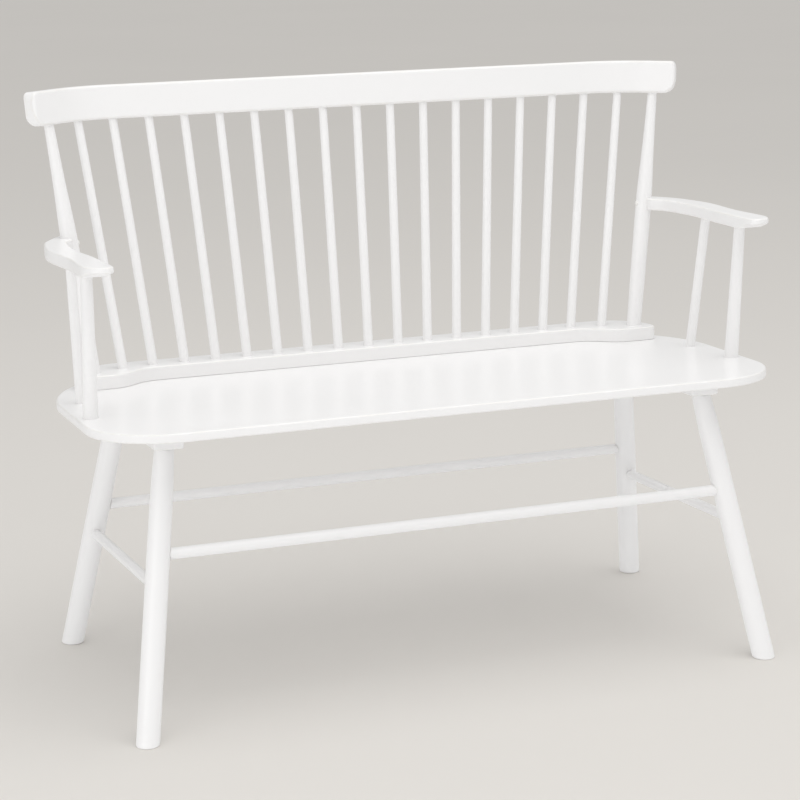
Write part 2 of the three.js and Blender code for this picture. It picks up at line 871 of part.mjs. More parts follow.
function seatBoard() {
  const group = new THREE.Group();
  group.add(mesh("seat", seatSolid(), seatPlane, paint));
  for (const [name, side] of sides) {
    group.add(mesh(`cleat_${name}`, cleatSolid(side), seatFrameAt(cleatUnderside), paint));
  }
  cleatScrews.forEach((placement, index) => {
    const name = `cleat_screw_${index + 1}`;
    group.add(mesh(name, screwSolid(cleatScrewLength, placement), placement, steel));
  });
  railScrews.forEach((placement, index) => {
    const name = `rail_screw_${index + 1}`;
    group.add(mesh(name, screwSolid(railScrewLength, placement), placement, steel));
  });
  return group;
}

function back() {
  const group = new THREE.Group();
  group.add(mesh("spindle_rail", railSolid(), seatFrameAt(clearance), paint));
  spindleLines.forEach((line, index) => {
    const name = `back_spindle_${String(index + 1).padStart(2, "0")}`;
    group.add(mesh(name, spindleSolid(line), between(line), paint));
  });
  for (const [name, side] of sides) {
    const placement = between(endPostLine(side));
    group.add(mesh(`end_post_${name}`, endPostSolid(side), placement, paint));
  }
  const middle = new THREE.Matrix4().setPosition(0, crestMiddleBack, crestMiddleHeight);
  group.add(mesh("crest_rail", crestSolid(), middle, paint));
  return group;
}

function arms() {
  const group = new THREE.Group();
  for (const [name, side] of sides) {
    const post = between(armPostLine(side));
    const spindle = between(armSpindleLine(side));
    const screw = between(armScrewLine(side));
    const low = seatFrameAt(armHeight - armThickness);
    group.add(mesh(`arm_${name}`, armSolid(side), low, paint));
    group.add(mesh(`arm_post_${name}`, armPostSolid(side), post, paint));
    group.add(mesh(`arm_spindle_${name}`, armSpindleSolid(side), spindle, paint));
    group.add(mesh(`arm_screw_${name}`, screwSolid(armScrewLength, screw), screw, steel));
    group.add(mesh(`button_cap_${name}`, capSolid(side), screw, paint));
  }
  return group;
}

const bench = new THREE.Group();
bench.add(base(), seatBoard(), back(), arms());

export default bench;
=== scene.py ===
"""A painted spindle-back bench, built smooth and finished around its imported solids.

Run as a script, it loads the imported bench, builds each piece of wood and each screw in the place
of its solid, paints them, and sets up a plain studio. Lengths are in metres. The origin is on the
floor in the middle of the four feet, +X runs to the right as seen from the front and +Y to the
back.
"""

import math
import random

import bmesh
import bpy
from bpy.props import FloatProperty, FloatVectorProperty, IntProperty, PointerProperty
from bpy.types import Operator, Panel, PropertyGroup
from mathutils import Matrix, Vector


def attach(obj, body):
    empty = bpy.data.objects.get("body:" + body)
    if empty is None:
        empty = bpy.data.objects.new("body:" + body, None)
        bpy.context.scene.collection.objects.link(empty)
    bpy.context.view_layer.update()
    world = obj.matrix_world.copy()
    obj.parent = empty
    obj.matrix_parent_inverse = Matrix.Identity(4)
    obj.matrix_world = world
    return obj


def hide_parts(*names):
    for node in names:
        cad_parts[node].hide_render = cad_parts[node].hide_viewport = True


bl_info = {
    "name": "Spindle-back bench",
    "version": (1, 0, 0),
    "blender": (4, 5, 0),
    "location": "3D View > Sidebar > Bench",
    "description": "Builds a painted spindle-back bench around its packed solids",
    "category": "Object",
}

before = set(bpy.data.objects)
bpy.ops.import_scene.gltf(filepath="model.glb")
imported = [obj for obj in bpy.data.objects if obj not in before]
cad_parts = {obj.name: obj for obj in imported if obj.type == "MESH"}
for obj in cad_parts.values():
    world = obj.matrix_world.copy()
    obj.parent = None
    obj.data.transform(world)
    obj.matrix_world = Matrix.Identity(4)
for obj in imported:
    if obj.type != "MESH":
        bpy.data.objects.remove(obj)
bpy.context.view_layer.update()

FULL_TURN = 2 * math.pi
QUARTER_TURN = math.pi / 2
SIDES = (("left", -1), ("right", 1))
ENDS = (("front", -1), ("back", 1))
UP = Vector((0, 0, 1))

# How finely a round member, an eased edge and a rounded corner are divided
ROUND_SIDES = 56
EASE_STEPS = 7
CORNER_STEPS = 20
STRAIGHT_STEPS = 8
SPLINE_STEPS = 24
BEND_STEPS = 24
BODY_RINGS = 28

# How many sides the small round pieces, the holes for screws and the floor have
SCREW_SIDES = 32
CAP_SIDES = 40
HOLE_SIDES = 40
FLOOR_SIDES = 64

# Two places nearer to each other than this are one
SAME_PLACE = 1e-5

# How far a member runs on, unseen, inside what carries it
HIDDEN_RUN = 0.003
LEG_HIDDEN_RUN = 0.009

# The fillet of paint round a joint, and the small eases where a piece meets another
JOINT_FILLET = 0.0007
LEG_TOP_EASE = 0.0016
STRETCHER_EASE = 0.0015
RAIL_FOOT_EASE = 0.0005
CLEAT_TOP_EASE = 0.0006

# Widths along the turned pieces, as shares of the length and of the diameter
LEG_WIDTHS = ((0, 1), (0.45, 1), (0.7, 0.98), (0.83, 0.945), (0.9, 0.87), (0.95, 0.83), (1, 0.82))
END_POST_WIDTHS = ((0, 0.93), (0.3, 1), (0.57, 1), (0.72, 0.82), (0.85, 0.69), (1, 0.59))

# The arm's plan: outer side to the nose and back along the inner side, as shares of the length
# forward and of the reach outward
ARM_PLAN = (
    (0, 0),
    (0.035, 0.2),
    (0.107, 0.52),
    (0.178, 0.74),
    (0.345, 0.96),
    (0.464, 0.96),
    (0.566, 0.88),
    (0.691, 0.815),
    (0.871, 0.855),
    (0.936, 0.815),
    (0.978, 0.65),
    (1, 0.34),
    (0.99, 0.1),
    (0.94, 0.01),
    (0.671, 0.07),
    (0.533, 0.16),
    (0.385, 0.2),
    (0.247, 0.13),
    (0.168, 0.01),
)

# The heel of the arm: its small corner, the length over which its inner side is softened, and the
# length and least share of its eased edge there
HEEL_CORNER = 0.0009
HEEL_SOFTENING = 0.004
HEEL_EASE_LENGTH = 0.03
HEEL_EASE_SHARE = 0.25

# How much rounder than its edges a cleat's corners are
CLEAT_CORNER_EXTRA = 0.0004

# How softly the cove under the arm's nose begins
COVE_SOFTNESS = 0.0008

# Places of the screws in the spindle rail, in spacings of the spindles
RAIL_SCREW_PLACES = (-6.5, -3.5, -0.5, 0.5, 3.5, 6.5)

# A screw's rim, plain neck and thread, with the neck, the thread's root and the place of its
# ridge as shares of the shank's radius and of the pitch
RIM_INSET, RIM_DEPTH = 0.0002, 0.00025
PLAIN_NECK = 0.002
THREAD_PITCH = 0.0014
NECK_SHARE, ROOT_SHARE, RIDGE_SHARE = 0.8, 0.7, 0.45

# The cross in a screw's head: its depth, and its arms and how they narrow as shares of the head
CROSS_DEPTH = 0.0013
CROSS_REACH, CROSS_WIDTH, CROSS_TAPER = 0.56, 0.15, 0.7

# How deep a button cap sits, and where its dome springs from
CAP_PLUG_LENGTH = 0.003
CAP_SHOULDER_DEPTH = 0.0008

# What the sockets of the shader groups take
VECTOR, NUMBER, COLOUR = "NodeSocketVector", "NodeSocketFloat", "NodeSocketColor"

# Soft patches in the paint: scale, stretch along the wood and contrast
CLOUDS = (9.0, 0.3, 0.3)
SCUFFS = (160.0, 0.25, 0.12)

# The detail and roughness of the noise that patches are made from
PATCH_DETAIL, PATCH_ROUGHNESS = 4.0, 0.55

# What clouds and nooks do to the paint's brightness and roughness, where the nooks' darkening is
# painted shade, and the range of the scuffs with the least and most wear that it gives to an edge
CLOUD_SHADE, NOOK_PAINTED_SHADE = 0.985, 0.12
CLOUD_ROUGHNESS, NOOK_ROUGHNESS = (-0.03, 0.04), 0.15
UNEVEN_WEAR = (0.1, 0.9, 0.25, 1.0)

# The noises of the paint film: scale, stretch along the wood, detail, roughness, share of relief
FILM_NOISES = {
    "brush lines": (900.0, 0.02, 3.0, 0.6, 0.16),
    "waves": (26.0, 1.0, 1.0, 0.5, 1.0),
    "grain": (170.0, 0.05, 4.0, 0.55, 0.22),
    "orange peel": (620.0, 1.0, 1.0, 0.5, 0.07),
}

# The patches of the plated steel and of the floor, their shade and the roughness
STEEL_PATCHES, STEEL_SHADE, STEEL_ROUGHNESS = (900.0, 1, 0.25), 0.7, (0.48, 0.3)
FLOOR_PATCHES, FLOOR_SHADE, FLOOR_ROUGHNESS = (0.7, 1, 0.2), 0.985, 0.85

# The strength and the depth of the relief in paint and steel
FILM_RELIEF, STEEL_RELIEF = (0.5, 0.0003), (0.3, 0.0001)

# How far each piece's part of the pattern is moved, at most
PATTERN_SHIFT = 5

# Edges turned by more than this stay sharp in the shading
SHARP_ANGLE = math.radians(34)

# The floor's rings, where the lamps stand, and the sky's tones and the heights they change between
FLOOR_RADII = (1.2, 3, 8, 20, 60)
LAMP_TARGET = (0, 0, 0.5)
KEY_PLACE, KEY_SIZE = (0.6, -1.3, 4.4), 5.0
FILL_PLACE, FILL_SIZE = (-3.3, -2.4, 1.0), 3.0
LOW_SKY, HIGH_SKY = (0.52, 0.515, 0.5, 1), (1, 1, 1, 1)
SKY_RISE = (0.1, 0.5)

# The photograph's camera
PICTURE_WIDTH = 800
FOCAL_LENGTH_PIXELS = 2399.84
SENSOR_WIDTH = 36
CAMERA_SHIFT = -0.0188
CAMERA_REACH = 200
CAMERA_PLACE = (-1.288, -3.4841, 1.3006)
CAMERA_YAW, CAMERA_PITCH, CAMERA_ROLL = (math.radians(turn) for turn in (20.41, -13.02, -0.67))


def length(name, description, default):
    """A length that can be changed in the sidebar."""
    return FloatProperty(
        name=name, description=description, default=default, min=0, unit="LENGTH", precision=4
    )


def share(name, description, default, top=1.0):
    """A plain number from nothing to a most."""
    return FloatProperty(name=name, description=description, default=default, min=0, max=top)


def colour(name, description, default):
    """A colour that can be picked in the sidebar."""
    return FloatVectorProperty(
        name=name, description=description, default=default, size=3, min=0, max=1, subtype="COLOR"
    )


class BenchSeatSizes(PropertyGroup):
    """Sizes of the seat board, the spindle rail and the cleats."""

    length: length("Seat length", "Length of the seat board", 1.108)
    depth: length("Seat depth", "Depth of the seat board", 0.48)
    thickness: length("Seat thickness", "Thickness of the seat board", 0.014)
    ease: length("Seat edge", "Radius of the seat's eased edges", 0.003)
    front_height: length("Front height", "Height of the seat's top at the front", 0.462)
    front_reach: length("Front reach", "Distance of the seat's front from the middle", 0.2414)
    fall: share("Fall", "How far the seat falls to the back for each unit of depth", 0.038)
    front_corner: length("Front corner", "Radius of the seat's front corners", 0.119)
    back_corner_length: length("Back corner length", "Length of the seat's back corners", 0.154)
    back_corner_depth: length("Back corner depth", "Depth of the seat's back corners", 0.188)
    back_corner_side: share("Side pull", "Pull of the back corner along the side", 0.37)
    back_corner_back: share("Back pull", "Pull of the back corner along the back", 0.68)
    rail_inset: length("Rail inset", "Distance of the rail's end from the seat's end", 0.052)
    rail_height: length("Rail height", "Height of the spindle rail", 0.0225)
    rail_depth: length("Rail depth", "Depth of the spindle rail in the middle", 0.0635)
    rail_end_depth: length("Rail end depth", "Depth of the spindle rail at its ends", 0.103)
    rail_end_length: length("Rail end length", "Length of the rail's deep end", 0.049)
    rail_sweep_length: length("Rail sweep", "Length over which the rail comes forward", 0.09)
    rail_front_corner: length("Rail front corner", "Radius of the rail's front corners", 0.015)
    rail_back_corner: share("Rail back corner", "Share of the end its back corner takes", 0.96)
    rail_ease: length("Rail edge", "Radius of the rail's upper edges", 0.003)
    cleat_length: length("Cleat length", "Length of a cleat front to back", 0.365)
    cleat_width: length("Cleat width", "Width of a cleat", 0.046)
    cleat_thickness: length("Cleat thickness", "Thickness of a cleat", 0.0255)
    cleat_ease: length("Cleat edge", "Radius of a cleat's lower edges", 0.003)
    cleat_set_back: length("Cleat set back", "Distance of a cleat from the front", 0.0764)
    cleat_inset: length("Cleat inset", "Distance of a cleat from the seat's end", 0.1154)


class BenchBackSizes(PropertyGroup):
    """Sizes of the crest rail, the spindles and the end posts."""

    crest_overhang: length("Crest overhang", "How much longer the crest is than the seat", 0.0138)
    crest_end: length("Crest end", "Length of the crest from its straight middle", 0.1598)
    bend_radius: length("Bend radius", "Radius of the bend near each end of the crest", 0.178)
    bend_angle: FloatProperty(
        name="Bend angle",
        description="How far the crest turns in its bend",
        default=math.radians(35),
        subtype="ANGLE",
    )
    crest_height: length("Crest height", "Height of the crest board", 0.054)
    crest_thickness: length("Crest thickness", "Thickness of the crest board", 0.024)
    crest_ease: length("Crest edge", "Radius of the crest's long edges", 0.0045)
    crest_lower_corner: length("Lower corner", "Radius of the crest's lower corners", 0.021)
    crest_upper_corner: length("Upper corner", "Radius of the crest's upper corners", 0.008)
    crest_middle_height: length("Crest middle", "Height of the middle of the crest", 0.888)
    crest_set_back: length("Crest set back", "How far the crest is behind the seat", 0.0024)
    spindle_count: IntProperty(
        name="Spindles", description="Number of slim back spindles", default=17, min=3
    )
    outer_foot_inset: length("Outer foot", "Outer spindle's foot from the seat's end", 0.134)
    outer_top_inset: length("Outer top", "Outer spindle's top from the seat's end", 0.0874)
    foot_back_inset: length("Foot inset", "Spindles' feet from the seat's back", 0.0408)
    outer_foot_back_inset: length("Outer foot inset", "Outer feet from the seat's back", 0.0528)
    foot_diameter: length("Foot diameter", "Diameter of a spindle at the rail", 0.0155)
    top_diameter: length("Top diameter", "Diameter of a spindle at the crest", 0.0135)
    end_foot_inset: length("End post foot", "End post's foot from the seat's end", 0.0813)
    end_foot_back_inset: length("End post inset", "End post's foot from the seat's back", 0.0704)
    end_top_inset: length("End post top", "End post's top from the seat's end", 0.0352)
    end_diameter: length("End post diameter", "Diameter of an end post at arm height", 0.026)


class BenchArmSizes(PropertyGroup):
    """Sizes of the arms and what carries them."""

    height: length("Arm height", "Height of an arm's top over the seat", 0.239)
    thickness: length("Arm thickness", "Thickness of an arm", 0.0195)
    ease: length("Arm edge", "Radius of an arm's edges", 0.003)
    length: length("Arm length", "Length of an arm", 0.386)
    reach: length("Arm reach", "How far an arm swings out", 0.05)
    heel: length("Heel", "How far an arm runs behind the end post's axis", 0.024)
    nose_length: length("Nose length", "Length of the cove under the nose", 0.046)
    nose_thickness: length("Nose thickness", "Thickness of the nose's tip", 0.010)
    post_foot_inset: length("Post foot", "Arm post's foot from the seat's end", 0.021)
    post_foot_back: FloatProperty(
        name="Post foot back", description="Place of the foot", default=-0.0735, unit="LENGTH"
    )
    post_top_inset: length("Post top", "Arm post's top from the seat's end", 0.0197)
    post_top_back: FloatProperty(
        name="Post top back", description="Place of the top", default=-0.0914, unit="LENGTH"
    )
    post_foot_diameter: length("Post foot diameter", "Diameter at the seat", 0.023)
    post_top_diameter: length("Post top diameter", "Diameter at the arm", 0.0175)
    spindle_foot_inset: length("Spindle foot", "Arm spindle's foot from the seat's end", 0.034)
    spindle_foot_back: length("Spindle foot back", "Place of an arm spindle's foot", 0.048)
    spindle_top_inset: length("Spindle top", "Arm spindle's top from the seat's end", 0.0213)
    spindle_top_back: length("Spindle top back", "Place of an arm spindle's top", 0.0233)
    spindle_foot_diameter: length("Spindle foot diameter", "Diameter at the seat", 0.016)
    spindle_top_diameter: length("Spindle top diameter", "Diameter at the arm", 0.0153)


class BenchLegSizes(PropertyGroup):
    """Sizes of the legs and the stretchers."""

    foot_inset: length("Foot inset", "Distance of a foot from the seat's end", 0.0461)
    foot_back: length("Foot back", "Distance of a foot to the front or back", 0.2491)
    top_inset: length("Top inset", "Distance of a leg's top from the seat's end", 0.1175)
    top_back: length("Top back", "Distance of a leg's top to the front or back", 0.138)
    top_depth: length("Top depth", "Depth of the leg's end under the seat's top", 0.011)
    diameter: length("Leg diameter", "Diameter of a leg", 0.0353)
    foot_ease: length("Foot edge", "Radius of a foot's lower edge", 0.0022)
    front_height: length("Front stretcher", "Height of the front stretcher", 0.2667)
    back_height: length("Back stretcher", "Height of the back stretcher", 0.2472)
    side_front_height: length("Side front", "Height of a side stretcher in front", 0.2207)
    side_back_height: length("Side back", "Height of a side stretcher behind", 0.1991)
    front_diameter: length("Front diameter", "Diameter of the front stretcher", 0.0175)
    back_diameter: length("Back diameter", "Diameter of the back stretcher", 0.0168)
    side_diameter: length("Side diameter", "Diameter of a side stretcher", 0.016)


class BenchFittingSizes(PropertyGroup):
    """Sizes of the screws, their caps and the gaps."""

    head_diameter: length("Head diameter", "Diameter of a screw's head", 0.008)
    head_height: length("Head height", "Height of a screw's countersunk head", 0.0024)
    shank_diameter: length("Shank diameter", "Diameter of a screw's shank", 0.004)
    tip_diameter: length("Tip diameter", "Diameter of a screw's tip", 0.001)
    cleat_spacing: length("Cleat screws", "Spacing of the screws in a cleat", 0.176)
    cleat_bite: length("Cleat screw bite", "How far a cleat screw goes into the seat", 0.009)
    rail_bite: length("Rail screw bite", "How far a rail screw goes into the rail", 0.012)
    arm_bite: length("Arm screw bite", "How far an arm screw goes into the arm", 0.012)
    counterbore: length("Counterbore", "Depth of the hole over an arm screw", 0.005)
    cap_diameter: length("Cap diameter", "Diameter of a button cap", 0.0095)
    cap_height: length("Cap height", "Height of a button cap's dome", 0.0024)
    clearance: length("Clearance", "Gap between two pieces", 0.0003)


class BenchPaint(PropertyGroup):
    """Colours and sheen of the finishes."""

    white: colour("White paint", "Colour of the paint", (0.893, 0.886, 0.882))
    cap: colour("Cap paint", "Colour of the button caps", (0.84, 0.83, 0.8))
    thin: colour("Thin paint", "Colour where the paint is thin on edges", (0.8, 0.77, 0.7))
    steel: colour("Steel", "Colour of the screws", (0.52, 0.53, 0.54))
    roughness: share("Paint roughness", "Roughness of the paint", 0.3)
    wear: share("Edge wear", "How much the edges show thin paint", 0.35)


class BenchStudio(PropertyGroup):
    """Floor, light and camera."""

    bounce: share("Bounce", "Brightness of the floor as it lights the bench from below", 0.96)
    floor: colour("Floor", "Colour of the floor", (0.7, 0.675, 0.64))
    key_power: FloatProperty(name="Key light", description="Power of the main lamp", default=77)
    fill_power: FloatProperty(name="Fill light", description="Power of the soft lamp", default=27)
    sky: share("Sky", "Strength of the light from all round", 0.81, 4.0)


class BenchSettings(PropertyGroup):
    """Everything that can be changed on the bench."""

    seat: PointerProperty(type=BenchSeatSizes)
    back: PointerProperty(type=BenchBackSizes)
    arm: PointerProperty(type=BenchArmSizes)
    leg: PointerProperty(type=BenchLegSizes)
    fitting: PointerProperty(type=BenchFittingSizes)
    paint: PointerProperty(type=BenchPaint)
    studio: PointerProperty(type=BenchStudio)


class Axis:
    """The middle line of a turned member, with two directions across it."""

    def __init__(self, foot, top):
        self.foot = foot
        self.length = (top - foot).length
        self.along = (top - foot).normalized()
        helper = UP if abs(self.along.z) < 0.9 else Vector((1, 0, 0))
        self.across = self.along.cross(helper).normalized()
        self.beyond = self.along.cross(self.across)

    def spoke(self, angle):
        return self.across * math.cos(angle) + self.beyond * math.sin(angle)

    def point(self, along, radius=0.0, angle=0.0):
        return self.foot + self.along * along + self.spoke(angle) * radius


class Plan:
    """Where the parts of the bench stand, worked out from its sizes."""

    def __init__(self, settings):
        self.seat = settings.seat
        self.back = settings.back
        self.arm = settings.arm
        self.leg = settings.leg
        self.fitting = settings.fitting
        self.paint = settings.paint
        self.tilt = math.atan(self.seat.fall)
        place = (0, -self.seat.front_reach, self.seat.front_height)
        self.seat_frame = Matrix.Translation(place) @ Matrix.Rotation(-self.tilt, 4, "X")
        self.seat_up = self.seat_frame.to_3x3() @ UP
        self.half = self.seat.length / 2
        self.cleat_out = self.half - self.seat.cleat_inset
        self.cleat_top = -self.seat.thickness - self.fitting.clearance
        self.cleat_underside = self.cleat_top - self.seat.cleat_thickness
        self.seat_back = self.seat.depth * math.cos(self.tilt) - self.seat.front_reach
        self.foot_back = self.seat_back - self.back.foot_back_inset
        self.crest_back = self.seat_back + self.back.crest_set_back
        self.crest_half = self.half + self.back.crest_overhang
        self.straight_half = self.crest_half - self.back.crest_end
        foot = self.over_seat(0, self.foot_back, self.seat.rail_height)
        self.lean = math.atan2(self.crest_back - foot.y, self.back.crest_middle_height - foot.z)
        self.outer_spindle = (self.back.spindle_count - 1) / 2
        self.foot_pitch = (self.half - self.back.outer_foot_inset) / self.outer_spindle
        self.top_pitch = (self.half - self.back.outer_top_inset) / self.outer_spindle

    def along_seat(self, back, height):
        """The distance along the seat of a level place front to back."""
        level = back + self.seat.front_reach - height * math.sin(self.tilt)
        return level / math.cos(self.tilt)

    def over_seat(self, out, back, height):
        """A point at a height square to the seat's top."""
        return self.seat_frame @ Vector((out, self.along_seat(back, height), height))

    def crest_bend(self, along):
        """The middle of the crest at a distance along it, and the level direction behind it."""
        side, radius = math.copysign(1, along), self.back.bend_radius
        past = max(abs(along) - self.straight_half, 0)
        turn = min(past / radius, self.back.bend_angle)
        wing = past - turn * radius
        out = abs(along) - past + radius * math.sin(turn) + wing * math.cos(turn)
        forward = radius * (1 - math.cos(turn)) + wing * math.sin(turn)
        middle = Vector((side * out, self.crest_back - forward, self.back.crest_middle_height))
        return middle, Vector((side * math.sin(turn), math.cos(turn), 0))

    def crest_point(self, along, back, height):
        """A point of the leaning crest from its place in the board's section."""
        middle, behind = self.crest_bend(along)
        cos, sin = math.cos(self.lean), math.sin(self.lean)
        return middle + behind * (back * cos + height * sin) + UP * (height * cos - back * sin)

    def along_crest(self, out):
        """The distance along the crest of a place that is some way out."""
        radius, angle = self.back.bend_radius, self.back.bend_angle
        past = max(abs(out) - self.straight_half, 0)
        reach = radius * math.sin(angle)
        if past < reach:
            run = radius * math.asin(past / radius)
        else:
            run = radius * angle + (past - reach) / math.cos(angle)
        return math.copysign(abs(out) - past + run, out)

    def under_crest(self, out):
        """The middle of the crest's underside some way out, as the members are bored into it."""
        middle, _ = self.crest_bend(self.along_crest(out))
        half = self.back.crest_height / 2
        return middle - Vector((0, half * math.sin(self.lean), half * math.cos(self.lean)))

    def crest_underside(self, out):
        """The flat face under the crest some way out."""
        along = self.along_crest(out)
        low = self.crest_point(along, 0, -self.back.crest_height / 2)
        middle = self.crest_point(along, 0, 0)
        return flat_face(low, (middle - low).normalized())

    def seat_face(self, height):
        """A flat face that lies along the seat at a height over its top."""
        return flat_face(self.seat_frame @ Vector((0, 0, height)), self.seat_up)

    def spindle_axes(self):
        """The back spindles from left to right, each with how far out its top is."""
        outer_back = self.seat_back - self.back.outer_foot_back_inset
        for index in range(self.back.spindle_count):
            place = index - self.outer_spindle
            back = outer_back if abs(place) == self.outer_spindle else self.foot_back
            out = place * self.top_pitch
            foot = self.over_seat(place * self.foot_pitch, back, self.seat.rail_height)
            yield Axis(foot, self.under_crest(out)), out

    def end_post_axis(self, side):
        out = side * (self.half - self.back.end_foot_inset)
        back = self.seat_back - self.back.end_foot_back_inset
        foot = self.over_seat(out, back, self.seat.rail_height)
        return Axis(foot, self.under_crest(self.end_post_top(side)))

    def end_post_top(self, side):
        return side * (self.half - self.back.end_top_inset)

    def arm_member_axis(self, kind, side):
        """The axis of the post or the spindle that carries an arm."""
        foot_inset, foot_back, top_inset, top_back = (
            getattr(self.arm, f"{kind}_{place}")
            for place in ("foot_inset", "foot_back", "top_inset", "top_back")
        )
        under_arm = self.arm.height - self.arm.thickness
        foot = self.over_seat(side * (self.half - foot_inset), foot_back, 0)
        return Axis(foot, self.over_seat(side * (self.half - top_inset), top_back, under_arm))

    def leg_axis(self, side, end):
        leg = self.leg
        foot = Vector((side * (self.half - leg.foot_inset), end * leg.foot_back, 0))
        top_out = side * (self.half - leg.top_inset)
        return Axis(foot, self.over_seat(top_out, end * leg.top_back, -leg.top_depth))

    def on_leg(self, side, end, height):
        axis = self.leg_axis(side, end)
        return axis.point(height / axis.along.z)

    def arm_root(self, side):
        """The end post's axis at the middle of the arm's thickness."""
        axis = self.end_post_axis(side)
        level = self.over_seat(0, axis.foot.y, self.arm.height - self.arm.thickness / 2).z
        return axis.point((level - axis.foot.z) / axis.along.z)

    def seat_screws(self, places, height, run):
        """Screws that come up from a level under the seat, square to it."""
        heads = [self.over_seat(*place, height + self.fitting.clearance) for place in places]
        return [Axis(head, head + self.seat_up * run) for head in heads]

    def cleat_screw_axes(self):
        seat, fitting = self.seat, self.fitting
        reach = seat.cleat_set_back + seat.cleat_length / 2
        middle = reach * math.cos(self.tilt) - seat.front_reach
        places = [
            (side * self.cleat_out, middle + place * fitting.cleat_spacing)
            for _, side in SIDES
            for place in (-1, 0, 1)
        ]
        run = seat.cleat_thickness + fitting.cleat_bite
        return self.seat_screws(places, self.cleat_underside, run)

    def rail_screw_axes(self):
        places = [(n * self.foot_pitch, self.foot_back) for n in RAIL_SCREW_PLACES]
        thickness = self.seat.thickness
        return self.seat_screws(places, -thickness, thickness + self.fitting.rail_bite)

    def arm_screw_axis(self, side):
        root = self.arm_root(side)
        radius = self.back.end_diameter / 2
        head = root - Vector((side * (radius - self.fitting.counterbore), 0, 0))
        run = self.back.end_diameter - self.fitting.counterbore + self.fitting.arm_bite
        return Axis(head, head + Vector((side * run, 0, 0)))


def flat_face(point, normal):
    """How far a line runs, from a start and in a direction, to a flat face."""
    return lambda start, direction: (point - start).dot(normal) / direction.dot(normal)


def round_face(axis, radius):
    """How far a line runs to the near side of a round member."""

    def distance(start, direction):
        across = direction - axis.along * direction.dot(axis.along)
        offset = start - axis.foot
        offset -= axis.along * offset.dot(axis.along)
        a = across.length_squared
        half_b = across.dot(offset)
        c = offset.length_squared - radius * radius
        return (-half_b - math.sqrt(half_b * half_b - a * c)) / a

    return distance


def smooth_between(table, at):
    """A value from a table of pairs, eased softly through its points."""
    at = min(max(at, table[0][0]), table[-1][0])
    index = next(i for i in range(len(table) - 1) if at <= table[i + 1][0])
    (x0, y0), (x1, y1) = table[index], table[index + 1]

    def slope(i):
        before, after = table[max(i - 1, 0)], table[min(i + 1, len(table) - 1)]
        return (after[1] - before[1]) / (after[0] - before[0])

    width = x1 - x0
    t = (at - x0) / width
    return (
        y0 * (2 * t**3 - 3 * t**2 + 1)
        + slope(index) * width * (t**3 - 2 * t**2 + t)
        + y1 * (3 * t**2 - 2 * t**3)
        + slope(index + 1) * width * (t**3 - t**2)
    )


def spline_through(points, steps):
    """A smooth line through points, with the ends kept."""
    found = []
    last = len(points) - 1
    for index in range(last):
        p0 = points[max(index - 1, 0)]
        p1, p2 = points[index], points[index + 1]
        p3 = points[min(index + 2, last)]
        for step in range(steps):
            t = step / steps
            found.append(
                tuple(
                    (2 * b - 2 * c + (c - a) / 2 + (d - b) / 2) * t**3
                    + (-3 * b + 3 * c - (c - a) - (d - b) / 2) * t**2
                    + (c - a) / 2 * t
                    + b
                    for a, b, c, d in zip(p0, p1, p2, p3)
                )
            )
    found.append(tuple(points[last]))
    return found


def line_at(points, at):
    """The second number of a list of pairs, whose first numbers rise, at a first number."""
    for (x0, y0), (x1, y1) in zip(points, points[1:]):
        if x0 <= at <= x1 and x1 > x0:
            return y0 + (y1 - y0) * (at - x0) / (x1 - x0)
    return points[0][1] if at < points[0][0] else points[-1][1]


def corner_fall(radius, inward):
    """How far a rounded corner has fallen away at a distance in from the end."""
    left = max(radius - inward, 0)
    return radius - math.sqrt(radius**2 - left**2)


def quarter_angles(steps, first=0):
    """Angles at even steps over a quarter turn."""
    return [step / steps * QUARTER_TURN for step in range(first, steps + 1)]


def eased_end(face, radius, hidden=HIDDEN_RUN):
    """A face, and the steps that round a member's end over towards it: how far in, how far back
    from the face, and the masks for edge and nook."""
    steps = [
        (radius * (1 - math.cos(angle)), radius * (1 - math.sin(angle)), math.sin(2 * angle), 0)
        for angle in quarter_angles(EASE_STEPS)
    ]
    # The last ring, where the member meets what carries it, gets the nook mask that the paint
    # darkens as painted shade
    steps[-1] = (*steps[-1][:3], 1)
    return face, steps + ([(radius, -hidden, 0, 1)] if hidden else [])


def filleted_end(face):
    """A face, and the steps that spread a member's end into the fillet of paint round its joint."""
    size = JOINT_FILLET
    # The nook mask rises into the fillet, where the paint darkens it as painted shade
    steps = [
        (-size * (1 - math.cos(angle)), size * (1 - math.sin(angle)), 0, math.sin(angle))
        for angle in quarter_angles(EASE_STEPS)
    ]
    return face, steps + [(-size, -HIDDEN_RUN, 0, 1)]


def round_wood(along, radius, angle):
    """Where a point of a round piece lies in its wood."""
    return radius * math.cos(angle), radius * math.sin(angle), along


